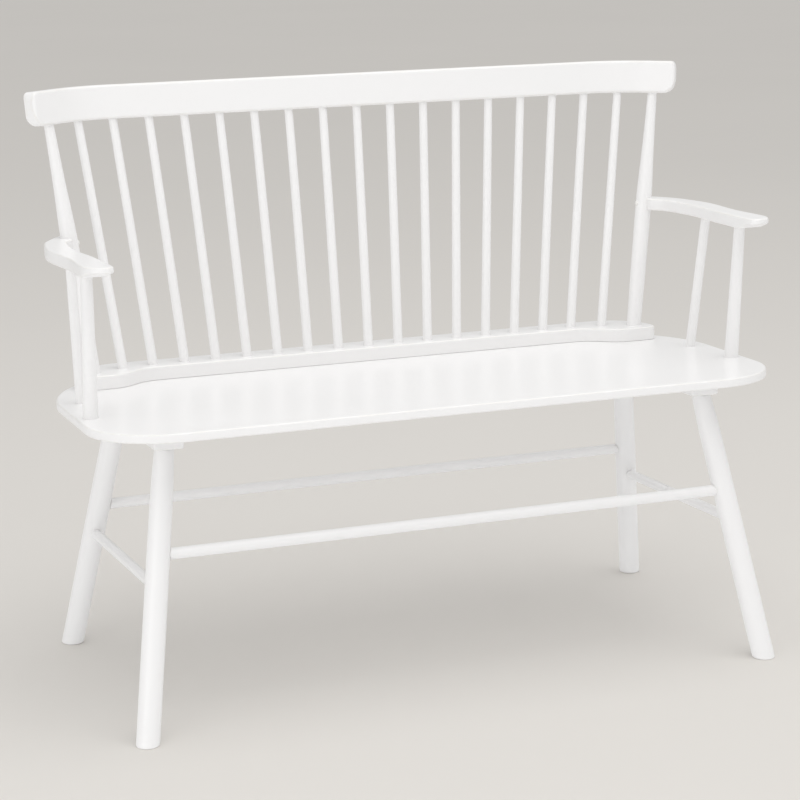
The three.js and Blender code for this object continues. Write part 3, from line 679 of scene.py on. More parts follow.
class Piece:
    """A mesh being made, with the coordinates and masks that its finish reads: where each point
    lies in the wood, and how much it is an edge or a nook."""

    def __init__(self):
        self.bm = bmesh.new()
        layers = self.bm.verts.layers
        self.wood = layers.float_vector.new("wood")
        self.edge = layers.float.new("edge")
        # The nook mask marks joints and holes, where the paint is darkened as painted shade and
        # made rougher
        self.nook = layers.float.new("nook")

    def point(self, place, wood, edge=0.0, nook=0.0):
        vert = self.bm.verts.new(place)
        vert[self.wood] = wood
        vert[self.edge] = edge
        vert[self.nook] = nook
        return vert

    def skin(self, rings):
        """Joins closed rings of points with four-sided faces."""
        for ring, other in zip(rings, rings[1:]):
            for here, after in zip(range(len(ring)), [*range(1, len(ring)), 0]):
                self.bm.faces.new((ring[here], ring[after], other[after], other[here]))

    def cap(self, ring):
        self.bm.faces.new(ring)

    def close(self, rings):
        """Joins rings of points and caps both ends."""
        self.skin(rings)
        self.cap(rings[0])
        self.cap(rings[-1])

    def lathe(self, axis, profile, sides, nook=0.0):
        """Rings round an axis, one for each pair of a place along it and a radius, joined and
        closed at the far end."""
        angles = [FULL_TURN * side / sides for side in range(sides)]
        rings = [
            [
                self.point(axis.point(*spot, angle), round_wood(*spot, angle), nook=nook)
                for angle in angles
            ]
            for spot in profile
        ]
        self.skin(rings)
        self.cap(rings[-1])
        return rings

    def ladder(self, ring):
        """Closes a ring whose first half lies opposite its second half."""
        half = len(ring) // 2
        for step in range(half - 1):
            near, far = ring[step], ring[-1 - step]
            self.bm.faces.new((near, ring[step + 1], ring[-2 - step], far))

    def turned(self, axis, width_at, foot, top):
        """A member between two faces. width_at gives its radius at a share of its length, and
        foot and top each hold a face and the steps that shape the end there."""
        middle = axis.length / 2
        angles = [FULL_TURN * side / ROUND_SIDES for side in range(ROUND_SIDES)]

        def end(face, steps, sense):
            heart = face(axis.point(middle), axis.along * sense)
            radius = width_at((middle + sense * heart) / axis.length)
            for inset, back, edge, nook in steps:
                ring = []
                for angle in angles:
                    start = axis.point(middle, radius - inset, angle)
                    reach = face(start, axis.along * sense) - back
                    ring.append((middle + sense * reach, radius - inset))
                yield ring, edge, nook

        foot_rings = list(end(*foot, -1))
        top_rings = list(end(*top, 1))
        start = max(along for ring, *_ in foot_rings for along, _ in ring)
        finish = min(along for ring, *_ in top_rings for along, _ in ring)
        body = []
        for step in range(1, BODY_RINGS):
            along = start + (finish - start) * step / BODY_RINGS
            body.append(([(along, width_at(along / axis.length))] * ROUND_SIDES, 0, 0))
        rings = [
            [
                self.point(axis.point(*spot, angle), round_wood(*spot, angle), edge, nook)
                for spot, angle in zip(ring, angles)
            ]
            for ring, edge, nook in [*reversed(foot_rings), *body, *top_rings]
        ]
        self.close(rings)

    def board(self, near, far, levels, eases, frame_matrix, grain, softness=None, lift=None):
        """A flat board. near and far are the two sides of its outline, point opposite point,
        levels and eases its lower and upper face and the radius of their edges, grain the order
        in which its own axes run in the wood, softness how much of the eases each point gets,
        and lift how far the lower face rises at a place."""
        outline = [Vector(p) for p in [*near, *reversed(far)]]
        soft = [1.0] * len(outline) if softness is None else [*softness, *reversed(softness)]
        count = len(outline)
        area = sum(a.cross(b) for a, b in zip(outline, outline[1:] + outline[:1]))
        sense = math.copysign(1, area)
        inward = []
        for index in range(count):
            run = outline[(index + 1) % count] - outline[index - 1]
            inward.append(Vector((-run.y, run.x)).normalized() * sense)
        low, high = levels
        steps = []
        for angle in quarter_angles(EASE_STEPS):
            inset, rise = 1 - math.sin(angle), 1 - math.cos(angle)
            steps.append((eases[0] * inset, low, eases[0] * rise, math.sin(2 * angle)))
        for angle in quarter_angles(EASE_STEPS):
            inset, fall = 1 - math.cos(angle), 1 - math.sin(angle)
            steps.append((eases[1] * inset, high, -eases[1] * fall, math.sin(2 * angle)))
        rings = []
        for number, (inset, level, shift, edge) in enumerate(steps):
            ring = []
            for place, normal, part in zip(outline, inward, soft):
                flat = place + normal * inset * part
                height = level + shift * part
                if lift and number <= EASE_STEPS:
                    height += lift(flat)
                own = Vector((flat.x, flat.y, height))
                ring.append(
                    self.point(frame_matrix @ own, [own[axis] for axis in grain], edge * part)
                )
            rings.append(ring)
        self.skin(rings)
        self.ladder(rings[0])
        self.ladder(rings[-1])


def remove_old(name):
    """Takes away the piece of an earlier run, so that an operator can be run again."""
    old = bpy.data.objects.get(name)
    if old is not None:
        bpy.data.meshes.remove(old.data)


def shifted_wood(mesh, name):
    """Gives each piece its own part of the paint's pattern."""
    draw = random.Random(name)
    shift = Vector([draw.uniform(-PATTERN_SHIFT, PATTERN_SHIFT) for _ in range(3)])
    for item in mesh.attributes["wood"].data:
        item.vector = Vector(item.vector) + shift


def cut_holes(item, cutter):
    """Cuts closed shells out of a piece, for good."""
    bmesh.ops.recalc_face_normals(cutter.bm, faces=cutter.bm.faces)
    mesh = bpy.data.meshes.new("hole cutter")
    cutter.bm.to_mesh(mesh)
    cutter.bm.free()
    tool = bpy.data.objects.new("hole cutter", mesh)
    bpy.context.scene.collection.objects.link(tool)
    modifier = item.modifiers.new("Screw holes", "BOOLEAN")
    modifier.operation = "DIFFERENCE"
    modifier.solver = "EXACT"
    modifier.object = tool
    seen = item.evaluated_get(bpy.context.evaluated_depsgraph_get())
    cut = bpy.data.meshes.new_from_object(seen)
    item.modifiers.clear()
    old = item.data
    item.data = cut
    bpy.data.meshes.remove(old)
    bpy.data.meshes.remove(mesh)
    if not cut.polygons:
        raise RuntimeError(f"cutting the screw holes left nothing of {item.name}")


def place_piece(piece, node, finish, look="painted", cutter=None):
    """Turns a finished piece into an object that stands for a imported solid."""
    name = f"{node}_{look}"
    remove_old(name)
    bmesh.ops.recalc_face_normals(piece.bm, faces=piece.bm.faces)
    mesh = bpy.data.meshes.new(name)
    piece.bm.to_mesh(mesh)
    piece.bm.free()
    shifted_wood(mesh, name)
    item = bpy.data.objects.new(name, mesh)
    bpy.context.scene.collection.objects.link(item)
    if cutter is not None:
        cut_holes(item, cutter)
        item.data.name = name
    item.data.materials.clear()
    item.data.materials.append(finish)
    item.data.shade_smooth()
    item.data.set_sharp_from_angle(angle=SHARP_ANGLE)
    weighted = item.modifiers.new("Flat faces stay flat", "WEIGHTED_NORMAL")
    weighted.keep_sharp = True
    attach(item, "root")
    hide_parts(node)


def place_turned(node, paint, axis, width_at, foot, top):
    """Turns a member between two faces and puts it in place."""
    piece = Piece()
    piece.turned(axis, width_at, foot, top)
    place_piece(piece, node, paint)


class Graph:
    """Adds shader nodes to a tree and links them."""

    def __init__(self, tree):
        self.tree = tree

    def add(self, kind, inputs=None, **settings):
        node = self.tree.nodes.new(kind)
        for name, value in settings.items():
            setattr(node, name, value)
        for key, value in (inputs or {}).items():
            if isinstance(value, bpy.types.NodeSocket):
                self.tree.links.new(value, node.inputs[key])
            else:
                node.inputs[key].default_value = value
        return node

    def math(self, operation, first, second=0.0, clamp=False):
        node = self.add("ShaderNodeMath", {0: first, 1: second}, operation=operation)
        node.use_clamp = clamp
        return node.outputs[0]

    def stretch(self, vector, scale):
        node = self.add("ShaderNodeVectorMath", {0: vector, 1: scale}, operation="MULTIPLY")
        return node.outputs[0]

    def noise(self, vector, scale, detail=2.0, roughness=0.5):
        node = self.add(
            "ShaderNodeTexNoise",
            {"Vector": vector, "Scale": scale, "Detail": detail, "Roughness": roughness},
        )
        return node.outputs["Fac"]

    def spread(self, value, low, high, to_low=0.0, to_high=1.0):
        node = self.add(
            "ShaderNodeMapRange",
            {"Value": value, 1: low, 2: high, 3: to_low, 4: to_high},
            clamp=True,
        )
        return node.outputs["Result"]

    def mix(self, factor, first, second, blend="MIX"):
        inputs = {0: factor, 6: first, 7: second}
        return self.add("ShaderNodeMix", inputs, data_type="RGBA", blend_type=blend).outputs[2]

    def relief(self, height, strength, distance):
        inputs = {"Strength": strength, "Distance": distance, "Height": height}
        return self.add("ShaderNodeBump", inputs).outputs["Normal"]

    def group(self, tree, inputs):
        return self.add("ShaderNodeGroup", inputs, node_tree=tree).outputs

    def mottle(self, wood, scale, stretch, contrast):
        """The mask of the soft patches."""
        given = {"Wood": wood, "Scale": scale, "Stretch": (1, 1, stretch), "Contrast": contrast}
        return self.group(mottle_group(), given)["Mask"]

    def finish(self, inputs):
        """Ends a material in its shader."""
        shader = self.add("ShaderNodeBsdfPrincipled", inputs)
        self.add("ShaderNodeOutputMaterial", {"Surface": shader.outputs[0]})


def open_group(name, inputs, outputs):
    """A node group with named sockets, or the one that is there already."""
    found = bpy.data.node_groups.get(name)
    if found is not None:
        return found, None
    tree = bpy.data.node_groups.new(name, "ShaderNodeTree")
    for title, kind, default in inputs:
        socket = tree.interface.new_socket(name=title, in_out="INPUT", socket_type=kind)
        socket.default_value = default
    for title, kind in outputs:
        tree.interface.new_socket(name=title, in_out="OUTPUT", socket_type=kind)
    return tree, Graph(tree)


def mottle_group():
    """Soft uneven patches, stretched along the wood, as a mask."""
    tree, graph = open_group(
        "Mottle",
        [
            ("Wood", VECTOR, (0, 0, 0)),
            ("Scale", NUMBER, 10),
            ("Stretch", VECTOR, (1, 1, 1)),
            ("Contrast", NUMBER, 0.2),
        ],
        [("Mask", NUMBER)],
    )
    if graph is None:
        return tree
    given = graph.add("NodeGroupInput").outputs
    place = graph.stretch(given["Wood"], given["Stretch"])
    patches = graph.noise(place, given["Scale"], PATCH_DETAIL, PATCH_ROUGHNESS)
    low = graph.math("SUBTRACT", 0.5, given["Contrast"])
    high = graph.math("ADD", 0.5, given["Contrast"])
    graph.add("NodeGroupOutput", {"Mask": graph.spread(patches, low, high)})
    return tree


def paint_film_group():
    """Satin paint on wood: faint brush lines, a fine orange peel, slow waves, paint a little
    thin on the edges, and painted shade that darkens the nooks, which are also a little rougher."""
    tree, graph = open_group(
        "Paint film",
        [
            ("Wood", VECTOR, (0, 0, 0)),
            ("Edge", NUMBER, 0),
            ("Nook", NUMBER, 0),
            ("Paint", COLOUR, (0.9, 0.9, 0.9, 1)),
            ("Thin Paint", COLOUR, (0.8, 0.8, 0.7, 1)),
            ("Wear", NUMBER, 0.3),
            ("Roughness", NUMBER, 0.3),
            ("Brush Lines", NUMBER, 1),
        ],
        [("Colour", COLOUR), ("Roughness", NUMBER), ("Height", NUMBER)],
    )
    if graph is None:
        return tree
    given = graph.add("NodeGroupInput").outputs
    wood = given["Wood"]

    cloud, scuff = graph.mottle(wood, *CLOUDS), graph.mottle(wood, *SCUFFS)
    scuff = graph.spread(scuff, *UNEVEN_WEAR)
    worn = graph.math("MULTIPLY", given["Edge"], given["Wear"])
    worn = graph.math("MULTIPLY", worn, scuff, clamp=True)
    shade = graph.spread(cloud, 0, 1, CLOUD_SHADE, 1)
    # Painted shade: the nook mask darkens the paint's colour in joints and holes
    shade = graph.math("SUBTRACT", shade, graph.math("MULTIPLY", given["Nook"], NOOK_PAINTED_SHADE))
    bare = graph.mix(worn, given["Paint"], given["Thin Paint"])
    grey = graph.add("ShaderNodeCombineColor", {0: shade, 1: shade, 2: shade}).outputs[0]
    tinted = graph.mix(1.0, bare, grey, "MULTIPLY")

    rough = graph.math("ADD", given["Roughness"], graph.spread(cloud, 0, 1, *CLOUD_ROUGHNESS))
    rough = graph.math("ADD", rough, graph.math("MULTIPLY", given["Nook"], NOOK_ROUGHNESS))

    height = 0.0
    for name, (scale, along, detail, roughness, relief) in FILM_NOISES.items():
        noise = graph.noise(graph.stretch(wood, (1, 1, along)), scale, detail, roughness)
        if name == "brush lines":
            noise = graph.math("MULTIPLY", noise, given["Brush Lines"])
        height = graph.math("ADD", graph.math("MULTIPLY", noise, relief), height)
    graph.add("NodeGroupOutput", {"Colour": tinted, "Roughness": rough, "Height": height})
    return tree


def new_material(name):
    """An empty material with its graph, in place of an earlier one of that name."""
    material = bpy.data.materials.get(name) or bpy.data.materials.new(name)
    material.use_nodes = True
    material.node_tree.nodes.clear()
    return material, Graph(material.node_tree)


def attribute(graph, name, output="Fac"):
    return graph.add("ShaderNodeAttribute", attribute_name=name).outputs[output]


def painted(name, look, base, brush_lines):
    """Satin paint over wood."""
    material, graph = new_material(name)
    film = graph.group(
        paint_film_group(),
        {
            "Wood": attribute(graph, "wood", "Vector"),
            "Edge": attribute(graph, "edge"),
            "Nook": attribute(graph, "nook"),
            "Paint": (*base, 1),
            "Thin Paint": (*look.thin, 1),
            "Wear": look.wear,
            "Roughness": look.roughness,
            "Brush Lines": brush_lines,
        },
    )
    graph.finish(
        {
            "Base Color": film["Colour"],
            "Roughness": film["Roughness"],
            "Normal": graph.relief(film["Height"], *FILM_RELIEF),
            "IOR": 1.5,
        }
    )
    return material


def board_paint(look):
    return painted("White paint on boards", look, look.white, brush_lines=1)


def turned_paint(look):
    return painted("White paint on turnings", look, look.white, brush_lines=0.5)


def cap_paint(look):
    return painted("Cap paint", look, look.cap, brush_lines=0)


def screw_steel(look):
    """Zinc plated steel, a little uneven."""
    material, graph = new_material("Plated steel")
    mask = graph.mottle(attribute(graph, "wood", "Vector"), *STEEL_PATCHES)
    dull = [part * STEEL_SHADE for part in look.steel]
    graph.finish(
        {
            "Base Color": graph.mix(mask, (*dull, 1), (*look.steel, 1)),
            "Roughness": graph.spread(mask, 0, 1, *STEEL_ROUGHNESS),
            "Metallic": 1,
            "Normal": graph.relief(mask, *STEEL_RELIEF),
        }
    )
    return material


def floor_paint(studio):
    """A plain pale matt floor, which lights what stands on it as a white one does."""
    material, graph = new_material("Studio floor")
    place = graph.add("ShaderNodeTexCoord").outputs["Object"]
    mask = graph.mottle(place, *FLOOR_PATCHES)
    low = [part * FLOOR_SHADE for part in studio.floor]
    tint = graph.mix(mask, (*low, 1), (*studio.floor, 1))
    ray = graph.add("ShaderNodeLightPath").outputs
    seen = graph.math("MAXIMUM", ray["Is Camera Ray"], ray["Is Glossy Ray"])
    seen = graph.math("MAXIMUM", seen, ray["Is Transmission Ray"])
    bounce = studio.bounce
    tint = graph.mix(seen, (bounce, bounce, bounce, 1), tint)
    graph.finish({"Base Color": tint, "Roughness": FLOOR_ROUGHNESS})
    return material


def bezier(points, t):
    a, b, c, d = points
    left = 1 - t
    return a * left**3 + 3 * b * left**2 * t + 3 * c * left * t**2 + d * t**3


def seat_half_outline(seat):
    """The right half of the seat's outline from front to back, out and along."""
    half = seat.length / 2
    radius = seat.front_corner
    points = []
    for angle in quarter_angles(CORNER_STEPS):
        points.append((half - radius * (1 - math.sin(angle)), radius * (1 - math.cos(angle))))
    corner = seat.depth - seat.back_corner_depth
    side_pull = corner + seat.back_corner_depth * seat.back_corner_side
    back_half = half - seat.back_corner_length
    back_pull = back_half + seat.back_corner_length * seat.back_corner_back
    for step in range(1, 2 * CORNER_STEPS + 1):
        t = step / (2 * CORNER_STEPS)
        points.append(
            (
                bezier((half, half, back_pull, back_half), t),
                bezier((corner, side_pull, seat.depth, seat.depth), t),
            )
        )
    return points


def rail_half_outline(seat):
    """The right half of the rail: how far out, and where its front and its back are there."""
    half = seat.length / 2 - seat.rail_inset
    sweep_end = half - seat.rail_end_length
    sweep_start = sweep_end - seat.rail_sweep_length
    front = seat.depth - seat.rail_depth
    end_front = seat.depth - seat.rail_end_depth
    small = seat.rail_front_corner
    large = (seat.rail_end_depth - small) * seat.rail_back_corner
    middle = (sweep_start + sweep_end) / 2
    sweep = []
    for step in range(CORNER_STEPS + 1):
        t = step / CORNER_STEPS
        out = bezier((sweep_start, middle, middle, sweep_end), t)
        sweep.append((out, bezier((front, front, end_front, end_front), t)))
    outs = [0, sweep_start / 2, *[out for out, _ in sweep]]
    for radius in (large, small):
        for angle in quarter_angles(CORNER_STEPS, 1):
            outs.append(half - radius * (1 - math.sin(angle)))
    found = []
    for out in sorted(outs):
        if found and out - found[-1][0] < SAME_PLACE:
            continue
        near = line_at(sweep, out) + corner_fall(small, half - out)
        far = seat.depth - corner_fall(large, half - out)
        found.append((out, near, far))
    return found


def arm_sides(arm, lap):
    """The arm's inner and outer side at stations from its heel to its nose: how far forward, and
    the reach of both sides there, and how much of the eased edge the station gets."""
    line = [
        (forward * arm.length, reach * arm.reach)
        for forward, reach in spline_through(ARM_PLAN, SPLINE_STEPS)
    ]
    tip = max(range(len(line)), key=lambda index: line[index][0])
    outer = line[: tip + 1]
    lap_end = 2 * arm.heel
    inner = [(0, -lap), (lap_end, -lap), *reversed(line[tip:])]
    end = line[tip][0]
    stations = [
        end * (1 - math.cos(step / (4 * CORNER_STEPS) * QUARTER_TURN * 2)) / 2
        for step in range(4 * CORNER_STEPS + 1)
    ]
    spots = [part * HEEL_SOFTENING for part in (-1, -0.5, 0, 0.5, 1)]
    found = []
    for forward in stations:
        near = line_at(inner, forward)
        if forward < arm.length / 4:
            near = sum(line_at(inner, forward + spot) for spot in spots) / len(spots)
        fall = corner_fall(HEEL_CORNER, forward)
        part = HEEL_EASE_SHARE + (1 - HEEL_EASE_SHARE) * smooth_step(forward / HEEL_EASE_LENGTH)
        found.append((forward, near + fall, line_at(outer, forward) - fall, part))
    return found


def smooth_step(value):
    value = min(max(value, 0), 1)
    return value * value * (3 - 2 * value)


def arm_place(plan, side):
    """The middle of the arm's heel: how far out its plan starts, and where it is along the seat."""
    root = plan.arm_root(side)
    out = abs(root.x) + plan.back.end_diameter / 2
    return out, plan.along_seat(root.y, plan.arm.height) + plan.arm.heel


def cove_lift(plan, heel):
    """How far the arm's underside rises towards the nose."""
    arm = plan.arm
    rise = arm.thickness - arm.nose_thickness
    radius = (arm.nose_length**2 + rise**2) / (2 * rise)
    tip = heel - arm.length

    def lift(place):
        off = min(abs(place.y - tip), radius)
        above = rise - radius + math.sqrt(radius**2 - off**2)
        return (above + math.sqrt(above**2 + COVE_SOFTNESS**2)) / 2

    return lift


def screw_shape(piece, axis, fitting):
    """A countersunk screw with a cross recess and a coarse thread, from its head to its tip."""
    head, shank = fitting.head_diameter / 2, fitting.shank_diameter / 2
    neck, root = shank * NECK_SHARE, shank * ROOT_SHARE
    thread_start = fitting.head_height + PLAIN_NECK
    tip_start = axis.length - fitting.head_height
    profile = [(0, head - RIM_INSET), (RIM_DEPTH, head)]
    profile += [(fitting.head_height, neck), (thread_start, neck)]
    along = thread_start
    while along + THREAD_PITCH < tip_start:
        profile += [(along + THREAD_PITCH * RIDGE_SHARE, shank), (along + THREAD_PITCH, root)]
        along += THREAD_PITCH
    profile += [(tip_start, root), (axis.length, fitting.tip_diameter / 2)]
    rim = piece.lathe(axis, profile, SCREW_SIDES)[0]

    reach, width = head * CROSS_REACH, head * CROSS_WIDTH
    cross = [
        (math.hypot(out, across), math.atan2(across, out) + quarter * QUARTER_TURN)
        for quarter in range(4)
        for out, across in ((reach, -width), (reach, width), (width, width))
    ]
    mouth, floor = (
        [
            piece.point(axis.point(depth, radius * part, angle), round_wood(depth, radius, angle))
            for radius, angle in cross
        ]
        for depth, part in ((0, 1), (CROSS_DEPTH, CROSS_TAPER))
    )
    piece.skin([mouth, floor])
    piece.cap(floor)
    edges = [
        piece.bm.edges.get((here, after))
        for loop in (rim, mouth)
        for here, after in zip(loop, [*loop[1:], loop[0]])
    ]
    bmesh.ops.triangle_fill(piece.bm, use_beauty=True, edges=edges)


def screw_holes(axes, fitting):
    """Closed shells of the holes that screws sit in."""
    cutter = Piece()
    shank = fitting.shank_diameter / 2 + fitting.clearance
    head = fitting.head_diameter / 2 + fitting.clearance
    for axis in axes:
        profile = [
            (-fitting.head_diameter, head),
            (fitting.clearance, head),
            (fitting.head_height + fitting.clearance, shank),
            (axis.length + fitting.clearance, shank),
        ]
        # The holes' walls carry the nook mask into the piece, where the paint darkens them as
        # painted shade
        cutter.cap(cutter.lathe(axis, profile, HOLE_SIDES, nook=1.0)[0])
    return cutter


def taper(foot_diameter, top_diameter):
    """A radius that changes evenly from the foot to the top."""
    return lambda share_up: (foot_diameter + (top_diameter - foot_diameter) * share_up) / 2


def swelling(table, diameter):
    """A radius that follows a table of widths."""
    return lambda share_up: smooth_between(table, share_up) * diameter / 2


class BuildSeat(Operator):
    """Builds the seat board, with round corners, eased edges and its screw holes"""

    bl_idname = "bench.seat"
    bl_label = "Seat board"

    def execute(self, context):
        plan = Plan(context.scene.bench)
        seat = plan.seat
        right = seat_half_outline(seat)
        left = [(-out, along) for out, along in right]
        piece = Piece()
        levels, eases = (-seat.thickness, 0), (seat.ease, seat.ease)
        piece.board(left, right, levels, eases, plan.seat_frame, (1, 2, 0))
        holes = screw_holes(plan.cleat_screw_axes() + plan.rail_screw_axes(), plan.fitting)
        place_piece(piece, "seat", board_paint(plan.paint), cutter=holes)
        return {"FINISHED"}


class BuildSpindleRail(Operator):
    """Builds the shaped rail that the back spindles stand in"""

    bl_idname = "bench.spindle_rail"
    bl_label = "Spindle rail"

    def execute(self, context):
        plan = Plan(context.scene.bench)
        half = rail_half_outline(plan.seat)
        whole = [(-out, near, far) for out, near, far in reversed(half) if out > 0] + half
        near = [(out, front) for out, front, _ in whole]
        far = [(out, back) for out, _, back in whole]
        piece = Piece()
        levels = (plan.fitting.clearance, plan.seat.rail_height)
        eases = (RAIL_FOOT_EASE, plan.seat.rail_ease)
        piece.board(near, far, levels, eases, plan.seat_frame, (1, 2, 0))
        place_piece(piece, "spindle_rail", board_paint(plan.paint))
        return {"FINISHED"}


class BuildCrestRail(Operator):
    """Builds the crest rail, which leans back and bends forward at both ends"""

    bl_idname = "bench.crest_rail"
    bl_label = "Crest rail"

    def section(self, back, inward):
        """The board's section at a distance in from its end."""
        inset = corner_fall(back.crest_ease, inward)
        deep = back.crest_thickness / 2 - inset
        low = -back.crest_height / 2 + corner_fall(back.crest_lower_corner, inward) + inset
        high = back.crest_height / 2 - corner_fall(back.crest_upper_corner, inward) - inset
        upper = ((deep, high, 1, 1), (-deep, high, -1, 1))
        lower = ((-deep, low, -1, -1), (deep, low, 1, -1))
        for index, (behind, height, side, level) in enumerate(upper + lower):
            for step in range(EASE_STEPS + 1):
                angle = (index + step / EASE_STEPS) * QUARTER_TURN
                edge = math.sin(2 * step / EASE_STEPS * QUARTER_TURN)
                yield (
                    behind + back.crest_ease * (math.cos(angle) - side),
                    height + back.crest_ease * (math.sin(angle) - level),
                    edge,
                )

    def stops(self, plan):
        """Distances along the crest at which it gets a section."""
        back, half = plan.back, plan.crest_half
        ends = []
        for radius in (back.crest_ease, back.crest_lower_corner):
            for angle in quarter_angles(CORNER_STEPS)[:-1]:
                ends.append(half - radius * (1 - math.cos(angle)))
        bend = back.bend_radius * back.bend_angle
        shared = [plan.straight_half + bend * step / BEND_STEPS for step in range(BEND_STEPS + 1)]
        wing = half - back.crest_lower_corner
        shared = [stop for stop in shared if stop < wing] + [wing]
        right = sorted({round(stop, 6) for stop in ends + shared})
        steps = range(1 - STRAIGHT_STEPS, STRAIGHT_STEPS)
        middle = [plan.straight_half * step / STRAIGHT_STEPS for step in steps]
        return [-stop for stop in reversed(right)] + middle + right

    def execute(self, context):
        plan = Plan(context.scene.bench)
        piece = Piece()
        rings = [
            [
                piece.point(plan.crest_point(along, *spot), (*spot, along), edge)
                for *spot, edge in self.section(plan.back, plan.crest_half - abs(along))
            ]
            for along in self.stops(plan)
        ]
        piece.close(rings)
        place_piece(piece, "crest_rail", board_paint(plan.paint))
        return {"FINISHED"}


class BuildSpindles(Operator):
    """Builds the slim back spindles between the spindle rail and the crest rail"""

    bl_idname = "bench.spindles"
    bl_label = "Back spindles"

    def execute(self, context):
        plan = Plan(context.scene.bench)
        paint = turned_paint(plan.paint)
        foot = filleted_end(plan.seat_face(plan.seat.rail_height))
        width = taper(plan.back.foot_diameter, plan.back.top_diameter)
        for index, (axis, out) in enumerate(plan.spindle_axes()):
            top = filleted_end(plan.crest_underside(out))
            place_turned(f"back_spindle_{index + 1:02d}", paint, axis, width, foot, top)
        return {"FINISHED"}


class BuildEndPosts(Operator):
    """Builds the stouter turned posts at both ends of the back"""

    bl_idname = "bench.end_posts"
    bl_label = "End posts"

    def execute(self, context):
        plan = Plan(context.scene.bench)
        paint = turned_paint(plan.paint)
        foot = filleted_end(plan.seat_face(plan.seat.rail_height))
        width = swelling(END_POST_WIDTHS, plan.back.end_diameter)
        for name, side in SIDES:
            top = filleted_end(plan.crest_underside(plan.end_post_top(side)))
            place_turned(f"end_post_{name}", paint, plan.end_post_axis(side), width, foot, top)
        return {"FINISHED"}


class BuildArms(Operator):
    """Builds the two arms, with their eased edges and the cove under the nose"""

    bl_idname = "bench.arms"
    bl_label = "Arms"

    def execute(self, context):
        plan = Plan(context.scene.bench)
        arm = plan.arm
        sides = arm_sides(arm, plan.back.end_diameter / 2)
        paint = board_paint(plan.paint)
        for name, side in SIDES:
            out, heel = arm_place(plan, side)
            piece = Piece()
            piece.board(
                [(side * (out + inner), heel - forward) for forward, inner, _, _ in sides],
                [(side * (out + outer), heel - forward) for forward, _, outer, _ in sides],
                (arm.height - arm.thickness, arm.height),
                (arm.ease, arm.ease),
                plan.seat_frame,
                (0, 2, 1),
                softness=[part for *_, part in sides],
                lift=cove_lift(plan, heel),
            )
            place_piece(piece, f"arm_{name}", paint)
        return {"FINISHED"}


class BuildArmPosts(Operator):
    """Builds the stout front posts and the slim spindles that carry the arms"""

    bl_idname = "bench.arm_posts"
    bl_label = "Arm posts and spindles"

    def execute(self, context):
        plan = Plan(context.scene.bench)
        arm = plan.arm
        paint = turned_paint(plan.paint)
        foot = filleted_end(plan.seat_face(0))
        top = filleted_end(plan.seat_face(arm.height - arm.thickness))
        widths = {
            "post": taper(arm.post_foot_diameter, arm.post_top_diameter),
            "spindle": taper(arm.spindle_foot_diameter, arm.spindle_top_diameter),
        }
        for name, side in SIDES:
            for kind, width in widths.items():
                axis = plan.arm_member_axis(kind, side)
                place_turned(f"arm_{kind}_{name}", paint, axis, width, foot, top)
        return {"FINISHED"}


class BuildLegs(Operator):
    """Builds the four splayed legs, cut level at the floor and flush under the cleats"""

    bl_idname = "bench.legs"
    bl_label = "Legs"

    def execute(self, context):
        plan = Plan(context.scene.bench)
        paint = turned_paint(plan.paint)
        width = swelling(LEG_WIDTHS, plan.leg.diameter)
        foot = eased_end(flat_face(Vector((0, 0, 0)), UP), plan.leg.foot_ease, hidden=0)
        top = eased_end(plan.seat_face(plan.cleat_underside), LEG_TOP_EASE, LEG_HIDDEN_RUN)
        for side_name, side in SIDES:
            for end_name, end in ENDS:
                axis = plan.leg_axis(side, end)
                place_turned(f"leg_{end_name}_{side_name}", paint, axis, width, foot, top)
        return {"FINISHED"}


class BuildStretchers(Operator):
    """Builds the four round stretchers, coped against the legs"""

    bl_idname = "bench.stretchers"
    bl_label = "Stretchers"

    def execute(self, context):
        plan = Plan(context.scene.bench)
        leg = plan.leg
        paint = turned_paint(plan.paint)
        leg_width = swelling(LEG_WIDTHS, leg.diameter)
        runs = {
            "front": (leg.front_diameter, [(side, -1, leg.front_height) for _, side in SIDES]),
            "back": (leg.back_diameter, [(side, 1, leg.back_height) for _, side in SIDES]),
        }
        for name, side in SIDES:
            ends = [(side, -1, leg.side_front_height), (side, 1, leg.side_back_height)]
            runs[name] = (leg.side_diameter, ends)
        for name, (diameter, ends) in runs.items():
            faces = []
            for side, end, height in ends:
                leg_axis = plan.leg_axis(side, end)
                radius = leg_width(height / leg_axis.along.z / leg_axis.length)
                faces.append(eased_end(round_face(leg_axis, radius), STRETCHER_EASE))
            axis = Axis(*[plan.on_leg(*end) for end in ends])
            place_turned(f"stretcher_{name}", paint, axis, taper(diameter, diameter), *faces)
        return {"FINISHED"}


class BuildCleats(Operator):
    """Builds the two cleats under the seat, with their screw holes"""

    bl_idname = "bench.cleats"
    bl_label = "Cleats"

    def execute(self, context):
        plan = Plan(context.scene.bench)
        seat = plan.seat
        paint = board_paint(plan.paint)
        corner = seat.cleat_ease + CLEAT_CORNER_EXTRA
        half = seat.cleat_width / 2
        start, end = seat.cleat_set_back, seat.cleat_set_back + seat.cleat_length
        run = [
            (start + corner * (1 - math.cos(angle)), half - corner * (1 - math.sin(angle)))
            for angle in quarter_angles(EASE_STEPS)
        ]
        run += [(start + end - along, width) for along, width in reversed(run)]
        screws = plan.cleat_screw_axes()
        for index, (name, side) in enumerate(SIDES):
            middle = side * plan.cleat_out
            piece = Piece()
            piece.board(
                [(middle - width, along) for along, width in run],
                [(middle + width, along) for along, width in run],
                (plan.cleat_underside, plan.cleat_top),
                (seat.cleat_ease, CLEAT_TOP_EASE),
                plan.seat_frame,
                (0, 2, 1),
            )
            holes = screw_holes(screws[3 * index : 3 * index + 3], plan.fitting)
            place_piece(piece, f"cleat_{name}", paint, cutter=holes)
        return {"FINISHED"}


